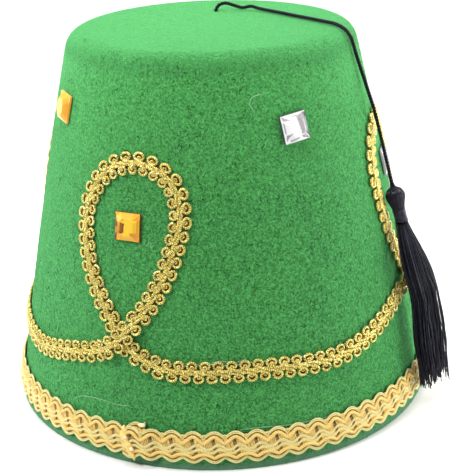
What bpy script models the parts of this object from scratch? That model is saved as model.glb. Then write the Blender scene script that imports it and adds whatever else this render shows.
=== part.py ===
"""Felt fez with a woven band round its rim, looped gimp trim, square stones and a corded tassel.

Metres, +Z up. The rim rests on z = 0 and the crown's axis is the Z axis. Azimuths are in degrees,
0 at the front (-Y) and growing towards the right (+X).
"""

import math

import bmesh
import bpy
import numpy as np
from mathutils import Matrix, Vector

MM = 0.001
GAP = 0.3 * MM  # clearance between pieces that touch on the real hat

# Felt crown
RIM_RADIUS = 91 * MM
TOP_RADIUS = 58.8 * MM  # where wall and top would meet without the soft edge
CROWN_HEIGHT = 157.5 * MM
WALL_BELLY = 1.4 * MM  # how far the wall swells outwards at mid height
FELT = 2.4 * MM
TOP_EDGE_RADIUS = 8.2 * MM
RIM_EDGE_RADIUS = 0.7 * MM
CROWN_STEPS = 64

# Woven band round the rim
BAND_BOTTOM = 3.2 * MM  # lowest point of its scallops
BAND_WIDTH = 13.4 * MM  # from there to its highest crest
BAND_THICK = 1.6 * MM
BAND_WAVES = 68
BAND_TOP_DIP = 2.8 * MM
BAND_BOTTOM_DIP = 2.1 * MM
BAND_CREST_AZIMUTH = -3.0
BAND_START_AZIMUTH = -26.2
BAND_LAP = 5.5  # degrees by which its start lies over its end
BAND_LAP_RAMP = 4.0  # degrees over which it comes down from its end to the wall
BAND_EDGE_SHARE = 0.75  # of its thickness, at its edges
BAND_POINTS_PER_WAVE = 4

# Gimp braid
GIMP_WIDTH = 9.2 * MM
GIMP_THICK = 1.9 * MM
GIMP_EDGE_SHARE = 0.5  # of its thickness, at its edges
GIMP_TOP_SHARE = 0.4  # of its width, at full thickness
GIMP_STEP = 5 * MM
GIMP_SEAM_AZIMUTH = 211.75
GIMP_SEAM_LEAD = 8.0  # degrees of level braid on each side of its ends
GIMP_SEAM_GAP = 0.3  # degrees between its ends
GIMP_OVER_REACH = 13.5 * MM  # along the braid, from a crossing to where it is down again
GIMP_OVER_RAMP = 6 * MM
GIMP_OVER_GAP = 0.4 * MM  # clearance where it passes over itself
# One row per loop: where its legs cross, where its top is, half its width, and the share of
# that width by which its left leg bulges further out than its right one.
# columns: crossing azimuth, crossing height mm, top azimuth, top height mm, half width deg, bulge
GIMP_LOOPS = {
    "front": (-28.4, 49.6, -26.0, 117.7, 15.5, 0.13),
    "right": (71.8, 56.6, 76.0, 120.0, 13.6, 0.0),
    "back": (163.75, 52.0, 163.75, 119.0, 16.0, 0.0),
    "left": (251.0, 49.0, 245.0, 124.0, 15.2, 0.0),
}
# The outline of half a loop, from below its crossing to its top.
# columns: share of the half width, share of the height from crossing to top, share of the bulge
LOOP_HALF = (
    (-0.98, -0.145, 0.0),
    (-0.55, -0.11, 0.0),
    (-0.245, -0.064, 0.0),
    (0.0, 0.0, 0.0),
    (0.22, 0.095, 0.0),
    (0.49, 0.222, 0.3),
    (0.75, 0.387, 0.8),
    (0.92, 0.566, 1.0),
    (1.0, 0.72, 0.6),
    (0.86, 0.873, 0.0),
    (0.52, 0.963, 0.0),
)
CROSSING_ROW = 3
GIMP_SEAM_HEIGHT = 39.4 * MM
SWAG_SHARES = (0.33, 0.67)  # where along its span a swag's two low points lie
# Their heights in mm, for the swags from the left loop to the front, right and back ones.
SWAG_LOWS = ((35.4, 34.2), (39.6, 38.6), (39.4, 39.4))

# Square stones
STONE_SIDE = 11 * MM
STONE_GIRDLE = 0.9 * MM
STONE_HEIGHT = 2.7 * MM
STONE_TABLE_SHARE = 0.58
STONE_TABLE_CUT = 1.5 * MM
AMBER, CLEAR = "stone_amber", "stone_clear"
# columns: azimuth, height mm, turn anticlockwise deg, material
STONES = {
    "stone_loop_front": (-27.8, 93.5, 1.0, AMBER),
    "stone_loop_right": (77.0, 101.0, 2.0, CLEAR),
    "stone_loop_back": (163.75, 95.0, -2.0, AMBER),
    "stone_loop_left": (246.5, 98.0, 1.5, CLEAR),
    "stone_high_right": (27.0, 128.5, 6.0, CLEAR),
    "stone_high_back_right": (116.0, 130.0, -3.0, AMBER),
    "stone_high_back_left": (209.0, 129.0, 2.5, CLEAR),
    "stone_high_left": (-65.0, 131.5, -3.0, AMBER),
}

# Cord, from the knot under the top to the tassel
CORD_DIAMETER = 1.5 * MM
CORD_HOLE_RADIUS = 1.15 * MM
CORD_HOLE_SIDES = 12
CORD_POINT_STEP = 3.6 * MM
KNOT_RADIUS = 2.6 * MM
KNOT_SEGMENTS = 12
KNOT_RINGS = 8
# Millimetres: up through the felt, across the top, over its edge and down to the tassel.
CORD_ROUTE = (
    (2.6, 28.1, 155.3),
    (2.6, 28.1, 157.6),
    (3.9, 28.0, 159.7),
    (6.9, 27.6, 160.6),
    (10.6, 26.8, 159.6),
    (14.2, 25.6, 158.7),
    (17.6, 23.9, 159.5),
    (21.0, 21.4, 158.9),
    (24.5, 17.9, 158.65),
    (29.4, 11.8, 158.65),
    (35.3, 3.8, 158.65),
    (40.9, -3.4, 158.65),
    (45.8, -10.2, 158.7),
    (49.9, -16.4, 158.7),
    (53.2, -21.0, 157.4),
    (55.3, -23.4, 154.7),
    (56.6, -24.3, 151.1),
    (57.6, -24.6, 147.5),
    (59.8, -24.9, 140.7),
    (62.2, -25.7, 133.2),
    (64.6, -26.6, 125.6),
    (67.0, -27.3, 116.0),
    (69.3, -28.1, 106.0),
    (71.3, -28.9, 97.6),
    (72.1, -29.2, 94.2),
)

# Tassel head and binding, turned about a line from the cord's end to the skirt's top
HEAD_LENGTH = 10.6 * MM
# columns: distance below the cord mm, radius mm
HEAD_PROFILE = (
    (0.0, 0.9),
    (0.9, 1.2),
    (1.7, 2.5),
    (2.7, 3.5),
    (4.4, 4.1),
    (6.2, 3.9),
    (8.0, 3.3),
    (9.6, 2.8),
    (10.6, 2.6),
)
BINDING_RADIUS = 2.8 * MM
BINDING_EDGE = 0.4 * MM
BINDING_REST = 0.75 * MM  # from its lower end to where the skirt starts
TURNED_STEPS = 16

# Tassel skirt: it lies along the wall, on the braid where the right loop crosses.
# columns: azimuth, height mm, centre off the wall mm, half width mm, half depth mm
SKIRT_ROWS = (
    (66.3, 78.0, 6.35, 2.4, 2.35),
    (65.4, 75.0, 7.05, 3.2, 3.05),
    (63.9, 70.0, 8.4, 5.0, 4.3),
    (62.8, 63.0, 10.0, 6.6, 5.4),
    (62.9, 57.0, 10.6, 7.1, 5.8),
    (64.8, 48.0, 10.1, 6.8, 5.8),
    (65.0, 40.0, 9.8, 6.6, 5.8),
    (64.2, 27.0, 9.9, 7.0, 6.4),
    (65.3, 10.0, 9.6, 7.0, 6.4),
)
CORE_SHARE = 0.6  # of the skirt's half width and depth
CORE_END = 0.8  # share of the skirt's length that the core backs
CORE_SIDES = 8
CORE_RINGS = 9
CORE_TAPER = 4  # power by which the core narrows below the binding
LOCK_COUNT = 10
LOCK_POINTS = 8
# columns: share of the lock's length, radius mm
LOCK_TAPER = ((0.0, 0.9), (0.15, 1.5), (0.5, 2.2), (0.85, 2.3), (1.0, 0.9))
# Where along the skirt each lock ends, from the wall side round by the front.
LOCK_ENDS = (0.9, 0.93, 0.97, 1.0, 0.94, 0.88, 0.91, 0.86, 0.9, 0.87)

# Colours are linear RGB.
FINISHES = {
    "felt_green": ((0.055, 0.33, 0.09), 0.95, 0.0),
    "galloon_gold": ((0.75, 0.5, 0.13), 0.45, 0.1),
    "gimp_gold": ((0.72, 0.45, 0.08), 0.35, 0.7),
    AMBER: ((0.85, 0.36, 0.03), 0.1, 0.2),
    CLEAR: ((0.8, 0.82, 0.86), 0.08, 0.3),
    "thread_black": ((0.012, 0.012, 0.018), 0.5, 0.0),
}


# ---------------------------------------------------------------- scene


def clear_scene():
    for obj in list(bpy.data.objects):
        bpy.data.objects.remove(obj, do_unlink=True)


def new_collection(name):
    collection = bpy.data.collections.new(name)
    bpy.context.scene.collection.children.link(collection)
    return collection


def new_finish(name):
    colour, roughness, metallic = FINISHES[name]
    material = bpy.data.materials.new(name)
    material.use_nodes = True
    shader = material.node_tree.nodes["Principled BSDF"]
    shader.inputs["Base Color"].default_value = (*colour, 1.0)
    shader.inputs["Roughness"].default_value = roughness
    shader.inputs["Metallic"].default_value = metallic
    material.diffuse_color = (*colour, 1.0)
    return material


def add_object(name, data, collection, material=None):
    obj = bpy.data.objects.new(name, data)
    collection.objects.link(obj)
    if material:
        data.materials.append(material)
    return obj


def shade_smooth(mesh, sharp_above=40):
    mesh.shade_smooth()
    mesh.set_sharp_from_angle(angle=math.radians(sharp_above))


def screw(obj, steps):
    modifier = obj.modifiers.new("turn", "SCREW")
    modifier.steps = steps
    modifier.render_steps = steps
    modifier.use_merge_vertices = True
    modifier.merge_threshold = 0.00001
    modifier.use_smooth_shade = True


def profile_mesh(name, points):
    """A line in the XZ plane that a Screw turns round Z; it runs down its outer side."""
    mesh = bpy.data.meshes.new(name)
    vertices = [(radius, 0.0, height) for radius, height in points]
    edges = [(i, i + 1) for i in range(len(vertices) - 1)]
    mesh.from_pydata(vertices, edges, [])
    return mesh


def helper(obj):
    obj.hide_render = True
    obj.display_type = "WIRE"
    return obj


# ---------------------------------------------------------------- the wall's geometry


def wall_radius(height):
    """Outer radius at a height: a straight taper plus a slight parabolic belly."""
    share = height / CROWN_HEIGHT
    taper = (TOP_RADIUS - RIM_RADIUS) * share
    return RIM_RADIUS + taper + WALL_BELLY * 4 * share * (1 - share)


def wall_slope(height):
    share = height / CROWN_HEIGHT
    return (TOP_RADIUS - RIM_RADIUS + WALL_BELLY * 4 * (1 - 2 * share)) / CROWN_HEIGHT


def wall_normal(azimuth, height):
    """Unit normals out of the wall, one row for each azimuth and height."""
    turn = np.radians(azimuth)
    slope = wall_slope(height)
    normal = np.stack([np.sin(turn), -np.cos(turn), -slope + 0 * turn], axis=-1)
    return normal / np.linalg.norm(normal, axis=-1, keepdims=True)


def on_wall(azimuth, height, offset=0.0):
    """Points at a distance straight out from the wall, one row for each."""
    turn = np.radians(azimuth)
    radius = wall_radius(height)
    foot = np.stack([radius * np.sin(turn), -radius * np.cos(turn), height + 0 * turn], axis=-1)
    return foot + np.expand_dims(np.asarray(offset), -1) * wall_normal(azimuth, height)


def smooth_curve(points, per_span):
    """A Catmull-Rom curve through the rows of points, with that many samples a span."""
    points = np.asarray(points, float)
    before = 2 * points[0] - points[1]
    after = 2 * points[-1] - points[-2]
    p = np.vstack([before, points, after])
    t = np.linspace(0, 1, per_span, endpoint=False)[:, None]
    spans = [
        0.5 * (
            2 * b + (c - a) * t + (2 * a - 5 * b + 4 * c - d) * t**2
            + (3 * b - a - 3 * c + d) * t**3
        )
        for a, b, c, d in zip(p, p[1:], p[2:], p[3:])
    ]
    return np.vstack([*spans, points[-1:]])


def lengths_along(line):
    steps = np.linalg.norm(np.diff(line, axis=0), axis=1)
    return np.concatenate([[0.0], np.cumsum(steps)])


def ease(share):
    """0 to 1 with a level start and end."""
    share = np.clip(share, 0, 1)
    return share * share * (3 - 2 * share)


def every(step, along, *values):
    """The values again, at even distances of about one step."""
    count = round(along[-1] / step) + 1
    at = np.linspace(0, along[-1], count)
    return [at, *(np.interp(at, along, value) for value in values)]


def strip_mesh(name, sections):
    """A closed body through sections of equal point count, shape (sections, points, 3)."""
    count, sides = sections.shape[:2]
    index = np.arange(count * sides).reshape(count, sides)
    here, there = index[:-1], index[1:]
    sides_quads = np.stack(
        [here, np.roll(here, -1, axis=1), np.roll(there, -1, axis=1), there], axis=-1
    )
    faces = [tuple(quad) for quad in sides_quads.reshape(-1, 4).tolist()]
    faces.append(tuple(index[0][::-1].tolist()))
    faces.append(tuple(index[-1].tolist()))
    mesh = bpy.data.meshes.new(name)
    mesh.from_pydata(sections.reshape(-1, 3).tolist(), [], faces)
    return mesh


# ---------------------------------------------------------------- felt crown


def edge_arc(centre_r, centre_h, radius, first, last, count):
    """Profile points on an arc; angles in degrees, 0 straight out and 90 straight up."""
    angles = np.radians(np.linspace(first, last, count))
    return [
        (centre_r + radius * math.cos(a), centre_h + radius * math.sin(a)) for a in angles
    ]


def crown_profile():
    """Outer side from the middle of the top down to the rim, then the inner side back up."""
    lean = math.degrees(math.atan(-wall_slope(CROWN_HEIGHT - TOP_EDGE_RADIUS)))
    tangent = CROWN_HEIGHT - TOP_EDGE_RADIUS * (1 - math.sin(math.radians(lean)))
    centre_r = wall_radius(tangent) - TOP_EDGE_RADIUS * math.cos(math.radians(lean))
    centre_h = CROWN_HEIGHT - TOP_EDGE_RADIUS
    inner_edge = TOP_EDGE_RADIUS - FELT
    outer = [(0.0, CROWN_HEIGHT)]
    outer += edge_arc(centre_r, centre_h, TOP_EDGE_RADIUS, 90, lean, 7)
    outer += [(wall_radius(h), h) for h in np.linspace(tangent, RIM_EDGE_RADIUS, 8)[1:]]
    rim = edge_arc(
        RIM_RADIUS - RIM_EDGE_RADIUS, RIM_EDGE_RADIUS, RIM_EDGE_RADIUS, -30, -90, 2
    )
    rim.append((RIM_RADIUS - FELT + RIM_EDGE_RADIUS / 2, 0.0))
    inner = [
        (wall_radius(h) - FELT / math.cos(math.radians(lean)), h)
        for h in np.linspace(RIM_EDGE_RADIUS, tangent, 6)[:-1]
    ]
    inner += edge_arc(centre_r, centre_h, inner_edge, lean, 90, 5)
    inner.append((0.0, CROWN_HEIGHT - FELT))
    return outer + rim + inner


def make_felt_crown(parts, cutters, material):
    crown = add_object(
        "felt_crown", profile_mesh("felt_crown", crown_profile()), parts, material
    )
    screw(crown, CROWN_STEPS)
    x, y, _ = Vector(CORD_ROUTE[0]) * MM
    bpy.ops.mesh.primitive_cylinder_add(
        vertices=CORD_HOLE_SIDES, radius=CORD_HOLE_RADIUS, depth=4 * FELT,
        location=(x, y, CROWN_HEIGHT - FELT / 2),
    )
    drill = helper(bpy.context.active_object)
    drill.name = "cord_hole_cutter"
    for collection in list(drill.users_collection):
        collection.objects.unlink(drill)
    cutters.objects.link(drill)
    hole = crown.modifiers.new("cord_hole", "BOOLEAN")
    hole.operation = "DIFFERENCE"
    hole.object = drill


# ---------------------------------------------------------------- woven band


def make_base_band(parts, material):
    """The band lies on the wall; its waves are sampled a few times each, as in the real weave."""
    turns = 360 + BAND_LAP
    count = round(turns / 360 * BAND_WAVES * BAND_POINTS_PER_WAVE) + 1
    azimuth = BAND_START_AZIMUTH + np.linspace(0, turns, count)
    phase = np.radians((azimuth - BAND_CREST_AZIMUTH) * BAND_WAVES)
    crest = (1 + np.cos(phase)) / 2
    top = BAND_BOTTOM + BAND_WIDTH - BAND_TOP_DIP * (1 - crest)
    bottom = BAND_BOTTOM + BAND_BOTTOM_DIP * (1 - crest)
    lap_end = BAND_START_AZIMUTH + BAND_LAP + BAND_LAP_RAMP
    lift = GAP + (BAND_THICK + GAP) * ease((lap_end - azimuth) / BAND_LAP_RAMP)
    edge = lift + BAND_THICK * BAND_EDGE_SHARE
    sections = np.stack(
        [
            on_wall(azimuth, bottom, lift),
            on_wall(azimuth, top, lift),
            on_wall(azimuth, top, edge),
            on_wall(azimuth, (top + bottom) / 2, lift + BAND_THICK),
            on_wall(azimuth, bottom, edge),
        ],
        axis=1,
    )
    mesh = strip_mesh("base_band", sections)
    shade_smooth(mesh)
    add_object("base_band", mesh, parts, material)


# ---------------------------------------------------------------- gimp braid


def loop_rows(loop):
    """(azimuth, height) from a loop's left tail, up its right side and down its left one."""
    crossing, crossing_mm, top, top_mm, half_width, bulge = loop
    rows = [(share, height) for share, height, _ in LOOP_HALF]
    rows += [(0.0, 1.0)]
    rows += [(-share - bulge * bulged, height) for share, height, bulged in reversed(LOOP_HALF)]
    rise = (top_mm - crossing_mm) * MM
    return [
        (
            crossing + (top - crossing) * max(height, 0.0) + share * half_width,
            crossing_mm * MM + height * rise,
        )
        for share, height in rows
    ]


def gimp_route():
    """The braid's (azimuth, height) points once round, and the row of each pass on top."""
    loops = list(GIMP_LOOPS.values())
    ordered = loops[3:] + loops[:3]
    ordered = [(loop[0] - 360, loop[1], loop[2] - 360, *loop[3:]) if i == 0 else loop
               for i, loop in enumerate(ordered)]
    start = GIMP_SEAM_AZIMUTH - 360
    rows = [(start, GIMP_SEAM_HEIGHT), (start + GIMP_SEAM_LEAD, GIMP_SEAM_HEIGHT)]
    over = []
    for index, loop in enumerate(ordered):
        over.append(len(rows) + CROSSING_ROW)
        rows += loop_rows(loop)
        if index < len(ordered) - 1:
            near, far = rows[-1][0], loop_rows(ordered[index + 1])[0][0]
            rows += [
                (near + (far - near) * share, low * MM)
                for share, low in zip(SWAG_SHARES, SWAG_LOWS[index])
            ]
    rows += [(start + 360 - GIMP_SEAM_LEAD, GIMP_SEAM_HEIGHT)]
    rows += [(start + 360 - GIMP_SEAM_GAP, GIMP_SEAM_HEIGHT)]
    return rows, over


def make_gimp_braid(parts, material):
    per_span = 12
    rows, over = gimp_route()
    fine = smooth_curve(rows, per_span)
    along = lengths_along(on_wall(fine[:, 0], fine[:, 1]))
    at, azimuth, height = every(GIMP_STEP, along, fine[:, 0], fine[:, 1])
    lift = np.full(len(at), GAP)
    for row in over:
        away = np.abs(at - along[row * per_span])
        lift += (GIMP_THICK + GIMP_OVER_GAP) * ease((GIMP_OVER_REACH - away) / GIMP_OVER_RAMP)
    centre = on_wall(azimuth, height, lift)
    normal = wall_normal(azimuth, height)
    run = np.gradient(centre, axis=0)
    across = np.cross(normal, run)
    across /= np.linalg.norm(across, axis=1, keepdims=True)
    half = GIMP_WIDTH / 2
    edge = GIMP_EDGE_SHARE * GIMP_THICK
    top = GIMP_TOP_SHARE * half
    section = (
        (-half, 0.0),
        (half, 0.0),
        (half, edge),
        (top, GIMP_THICK),
        (-top, GIMP_THICK),
        (-half, edge),
    )
    sections = np.stack([centre + across * a + normal * b for a, b in section], axis=1)
    mesh = strip_mesh("gimp_braid", sections)
    shade_smooth(mesh)
    add_object("gimp_braid", mesh, parts, material)


# ---------------------------------------------------------------- stones


def stone_mesh(name):
    """A square stone: flat back, low girdle, four sides and four corner facets to its table."""
    half = STONE_SIDE / 2
    table = half * STONE_TABLE_SHARE
    cut = table - STONE_TABLE_CUT
    corners = [(sx, sy) for sx in (-1, 1) for sy in (-1, 1)]
    points = [(sx * half, sy * half, z) for sx, sy in corners for z in (0, STONE_GIRDLE)]
    points += [(sx * table, sy * cut, STONE_HEIGHT) for sx, sy in corners]
    points += [(sx * cut, sy * table, STONE_HEIGHT) for sx, sy in corners]
    mesh = bpy.data.meshes.new(name)
    body = bmesh.new()
    for point in points:
        body.verts.new(point)
    bmesh.ops.convex_hull(body, input=body.verts)
    bmesh.ops.dissolve_limit(
        body, angle_limit=math.radians(1), verts=body.verts, edges=body.edges
    )
    bmesh.ops.recalc_face_normals(body, faces=body.faces)
    body.to_mesh(mesh)
    body.free()
    return mesh


def make_stones(parts, materials):
    for name, (azimuth, height_mm, turn, material) in STONES.items():
        height = height_mm * MM
        stone = add_object(name, stone_mesh(name), parts, materials[material])
        normal = Vector(wall_normal(azimuth, height))
        right = Vector((math.cos(math.radians(azimuth)), math.sin(math.radians(azimuth)), 0))
        up = normal.cross(right)
        axes = Matrix((right, up, normal)).transposed().to_4x4()
        place = Matrix.Translation(on_wall(azimuth, height, GAP))
        stone.matrix_world = place @ axes @ Matrix.Rotation(math.radians(turn), 4, "Z")


# ---------------------------------------------------------------- cord and tassel


def poly_curve(name, points, radius, weights=None, resolution=2):
    curve = bpy.data.curves.new(name, "CURVE")
    curve.dimensions = "3D"
    curve.bevel_depth = radius
    curve.bevel_resolution = resolution
    curve.use_fill_caps = True
    spline = curve.splines.new("POLY")
    spline.points.add(len(points) - 1)
    for index, point in enumerate(points):
        spline.points[index].co = (*point, 1.0)
        spline.points[index].radius = weights[index] if weights is not None else 1.0
    return curve


def make_cord(parts, material):
    fine = smooth_curve(CORD_ROUTE, 12) * MM
    along = lengths_along(fine)
    _, x, y, z = every(CORD_POINT_STEP, along, fine[:, 0], fine[:, 1], fine[:, 2])
    points = np.stack([x, y, z], axis=1).tolist()
    add_object(
        "tassel_cord", poly_curve("tassel_cord", points, CORD_DIAMETER / 2), parts, material
    )


def make_knot(parts, material):
    mesh = bpy.data.meshes.new("cord_knot")
    body = bmesh.new()
    bmesh.ops.create_uvsphere(
        body, u_segments=KNOT_SEGMENTS, v_segments=KNOT_RINGS, radius=KNOT_RADIUS
    )
    body.to_mesh(mesh)
    body.free()
    mesh.shade_smooth()
    knot = add_object("cord_knot", mesh, parts, material)
    x, y, _ = Vector(CORD_ROUTE[0]) * MM
    knot.location = (x, y, CROWN_HEIGHT - FELT - GAP - KNOT_RADIUS)


def skirt_lines():
    """Centre, sideways and outward lines down the skirt, already scaled to its half sizes."""
    rows = smooth_curve(SKIRT_ROWS, 8)
    azimuth, height, off, width, depth = rows[:, 0], *(rows[:, 1:] * MM).T
    centre = on_wall(azimuth, height, off)
    run = np.gradient(centre, axis=0)
    run /= np.linalg.norm(run, axis=1, keepdims=True)
    outward = wall_normal(azimuth, height)
    sideways = np.cross(run, outward)
    sideways /= np.linalg.norm(sideways, axis=1, keepdims=True)
    outward = np.cross(sideways, run)
    return centre, sideways, outward, width, depth


def tassel_frame():
    """The head's own frame, with its origin at the cord's end and -Z down to the skirt."""
    azimuth, height_mm, off_mm = SKIRT_ROWS[0][:3]
    top = Vector(CORD_ROUTE[-1]) * MM
    foot = Vector(on_wall(azimuth, height_mm * MM, off_mm * MM))
    turned = Vector((0, 0, 1)).rotation_difference(top - foot).to_matrix().to_4x4()
    return Matrix.Translation(top) @ turned, (top - foot).length


def turned_piece(name, points, place, parts, material):
    piece = add_object(name, profile_mesh(name, points), parts, material)
    screw(piece, TURNED_STEPS)
    piece.matrix_world = place


def make_tassel_head(parts, material, place):
    rows = [(radius * MM, -GAP - depth * MM) for depth, radius in HEAD_PROFILE]
    points = [(0.0, rows[0][1]), *rows, (0.0, rows[-1][1])]
    turned_piece("tassel_head", points, place, parts, material)


def make_tassel_binding(parts, material, place, neck_length):
    top = -HEAD_LENGTH - 2 * GAP
    bottom = -neck_length + BINDING_REST
    points = [
        (0.0, top),
        (BINDING_RADIUS - BINDING_EDGE, top),
        (BINDING_RADIUS, top - BINDING_EDGE),
        (BINDING_RADIUS, bottom + BINDING_EDGE),
        (BINDING_RADIUS - BINDING_EDGE, bottom),
        (0.0, bottom),
    ]
    turned_piece("tassel_binding", points, place, parts, material)


def along_lines(lines, shares):
    """Each line's values at those shares of its length."""
    at = np.asarray(shares) * (len(lines[0]) - 1)
    index = np.arange(len(lines[0]))
    return [
        np.stack([np.interp(at, index, column) for column in line.T], axis=-1)
        if line.ndim > 1
        else np.interp(at, index, line)
        for line in lines
    ]


def skirt_core(lines):
    """The backing that the locks are fused to: an oval body inside them."""
    shares = np.linspace(0, CORE_END, CORE_RINGS)
    centre, sideways, outward, width, depth = along_lines(lines, shares)
    turn = 2 * np.pi * np.arange(CORE_SIDES) / CORE_SIDES
    inner = CORE_SHARE + (1 - CORE_SHARE) * (1 - shares / CORE_END) ** CORE_TAPER
    wide = (width * inner)[:, None, None] * sideways[:, None] * np.cos(turn)[None, :, None]
    deep = (depth * inner)[:, None, None] * outward[:, None] * np.sin(turn)[None, :, None]
    return strip_mesh("tassel_skirt", centre[:, None] + wide + deep)


def make_lock(index, lines, cutters):
    """One lock of threads: down the outside of the skirt, and drawn in at its tip."""
    turn = 2 * math.pi * (index + 0.5) / LOCK_COUNT - math.pi / 2
    shares = np.linspace(0.02, LOCK_ENDS[index], LOCK_POINTS)
    centre, sideways, outward, width, depth = along_lines(lines, shares)
    own = np.linspace(0, 1, LOCK_POINTS)
    thick = np.interp(own, *np.array(LOCK_TAPER).T) * MM
    wide = np.maximum(width - thick, 0)[:, None] * sideways * math.cos(turn)
    deep = np.maximum(depth - thick, 0)[:, None] * outward * math.sin(turn)
    radius = float(thick.max())
    points = (centre + wide + deep).tolist()
    curve = poly_curve("lock", points, radius, thick / radius, resolution=1)
    guide = add_object("lock_curve", curve, cutters)
    bpy.context.view_layer.update()
    graph = bpy.context.evaluated_depsgraph_get()
    mesh = bpy.data.meshes.new_from_object(guide.evaluated_get(graph))
    body = bmesh.new()
    body.from_mesh(mesh)
    bmesh.ops.remove_doubles(body, verts=body.verts, dist=0.00001)
    bmesh.ops.recalc_face_normals(body, faces=body.faces)
    body.to_mesh(mesh)
    body.free()
    lock = helper(bpy.data.objects.new(f"lock_{index}", mesh))
    lock.matrix_world = guide.matrix_world
    bpy.data.objects.remove(guide)
    return lock


def make_tassel_skirt(parts, cutters, material):
    lines = skirt_lines()
    skirt = add_object("tassel_skirt", skirt_core(lines), parts, material)
    locks = bpy.data.collections.new("locks")
    cutters.children.link(locks)
    for index in range(LOCK_COUNT):
        locks.objects.link(make_lock(index, lines, cutters))
    fuse = skirt.modifiers.new("fuse_locks", "BOOLEAN")
    fuse.operation = "UNION"
    fuse.operand_type = "COLLECTION"
    fuse.collection = locks


def main():
    clear_scene()
    parts = new_collection("fez_hat")
    cutters = new_collection("cutters")
    materials = {name: new_finish(name) for name in FINISHES}
    black = materials["thread_black"]
    make_felt_crown(parts, cutters, materials["felt_green"])
    make_base_band(parts, materials["galloon_gold"])
    make_gimp_braid(parts, materials["gimp_gold"])
    make_stones(parts, materials)
    make_knot(parts, black)
    make_cord(parts, black)
    place, neck_length = tassel_frame()
    make_tassel_head(parts, black, place)
    make_tassel_binding(parts, black, place, neck_length)
    make_tassel_skirt(parts, cutters, black)


main()
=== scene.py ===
"""The looks of a green felt fez: fuzzy felt, a wavy galloon, scroll gimp, cut stones and a tassel.

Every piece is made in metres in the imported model's frame, +Z up, and replaces its solid if it
has one there.
Azimuths are in degrees, 0 at the front (-Y) and growing towards the right (+X).
"""

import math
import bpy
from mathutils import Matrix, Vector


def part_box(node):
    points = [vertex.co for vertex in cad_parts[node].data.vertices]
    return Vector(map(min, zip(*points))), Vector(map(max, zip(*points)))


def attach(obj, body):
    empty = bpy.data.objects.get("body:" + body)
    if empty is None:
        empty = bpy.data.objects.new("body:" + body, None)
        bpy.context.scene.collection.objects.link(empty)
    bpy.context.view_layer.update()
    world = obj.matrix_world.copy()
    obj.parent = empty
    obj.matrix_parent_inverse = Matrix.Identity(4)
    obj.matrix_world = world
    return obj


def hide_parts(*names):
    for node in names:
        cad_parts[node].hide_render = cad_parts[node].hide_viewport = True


bl_info = {
    "name": "Trimmed felt fez",
    "version": (1, 0, 0),
    "blender": (4, 5, 0),
    "location": "3D View > Sidebar > Fez",
    "description": "Felt crown, woven band, gimp braid, stones and tassel of a fez",
    "category": "Object",
}

import bmesh
import bpy
import numpy as np
from bpy.props import FloatProperty, FloatVectorProperty, IntProperty, PointerProperty
from mathutils import Matrix, Vector

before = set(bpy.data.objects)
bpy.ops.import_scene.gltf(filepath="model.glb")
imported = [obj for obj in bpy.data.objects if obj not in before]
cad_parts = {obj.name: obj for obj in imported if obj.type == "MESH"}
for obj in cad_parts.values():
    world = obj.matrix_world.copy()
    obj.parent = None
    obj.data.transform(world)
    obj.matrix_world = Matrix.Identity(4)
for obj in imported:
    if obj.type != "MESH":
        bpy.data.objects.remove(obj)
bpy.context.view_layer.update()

MM = 0.001

# ------------------------------------------------------------ sizes shared with the solids

RIM_RADIUS = 91 * MM
TOP_RADIUS = 58.8 * MM
CROWN_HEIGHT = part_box("felt_crown")[1].z
WALL_BELLY = 1.4 * MM
FELT = 2.4 * MM
TOP_EDGE_RADIUS = 8.2 * MM
RIM_EDGE_RADIUS = 0.7 * MM
# The felt's grey cut edge and painted contact shadow reach this high, its mottled top this far
# down.
CUT_EDGE_TOP = 3.2 * MM
FLAT_TOP_REACH = 9 * MM
# How far glued pieces stand off the felt.
GAP = 0.3 * MM

BAND_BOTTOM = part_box("base_band")[0].z
BAND_MIDDLE = 10 * MM
BAND_WAVES = 68
BAND_WAVE = 360 / BAND_WAVES
BAND_CREST_AZIMUTH = -3.0
BAND_START_AZIMUTH = -26.2
BAND_LAP = 5.5
BAND_LAP_RAMP = 4.0
# Millimetres by which the band's last end climbs, to peek out above its first one.
BAND_PEEK = 3.2
BAND_THICK = 1.6 * MM

GIMP_THICK = 1.9 * MM
GIMP_SEAM_AZIMUTH = 211.75
# Degrees on each side of the seam where the braid runs level, and between its cut ends.
GIMP_SEAM_LEVEL = 8
GIMP_SEAM_GAP = 0.3
GIMP_OVER_REACH = 13.5 * MM
GIMP_OVER_RAMP = 6 * MM
GIMP_OVER_GAP = 0.4 * MM
# Columns: crossing azimuth, crossing height mm, top azimuth, top height mm, half width deg, and
# the share of that width by which the left leg bulges further out than the right one.
GIMP_LOOPS = {
    "front": (-28.4, 49.6, -26.0, 117.7, 15.5, 0.13),
    "right": (71.8, 56.6, 76.0, 120.0, 13.6, 0.0),
    "back": (163.75, 52.0, 163.75, 119.0, 16.0, 0.0),
    "left": (251.0, 49.0, 245.0, 124.0, 15.2, 0.0),
}
# Columns: share of the half width, share of the height from crossing to top, share of the bulge.
LOOP_HALF = (
    (-0.98, -0.145, 0.0),
    (-0.55, -0.11, 0.0),
    (-0.245, -0.064, 0.0),
    (0.0, 0.0, 0.0),
    (0.22, 0.095, 0.0),
    (0.49, 0.222, 0.3),
    (0.75, 0.387, 0.8),
    (0.92, 0.566, 1.0),
    (1.0, 0.72, 0.6),
    (0.86, 0.873, 0.0),
    (0.52, 0.963, 0.0),
)
CROSSING_ROW = 3
GIMP_SEAM_HEIGHT = 39.4 * MM
SWAG_SHARES = (0.33, 0.67)
# Heights in mm of the low points of the swags from the left loop to the front, right and back ones.
SWAG_LOWS = ((35.4, 34.2), (39.6, 38.6), (39.4, 39.4))

STONE_SIDE = 11 * MM
STONE_GIRDLE = 0.9 * MM
STONE_HEIGHT = 2.7 * MM
STONE_TABLE_SHARE = 0.58
STONE_TABLE_CUT = 1.5 * MM
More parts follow.
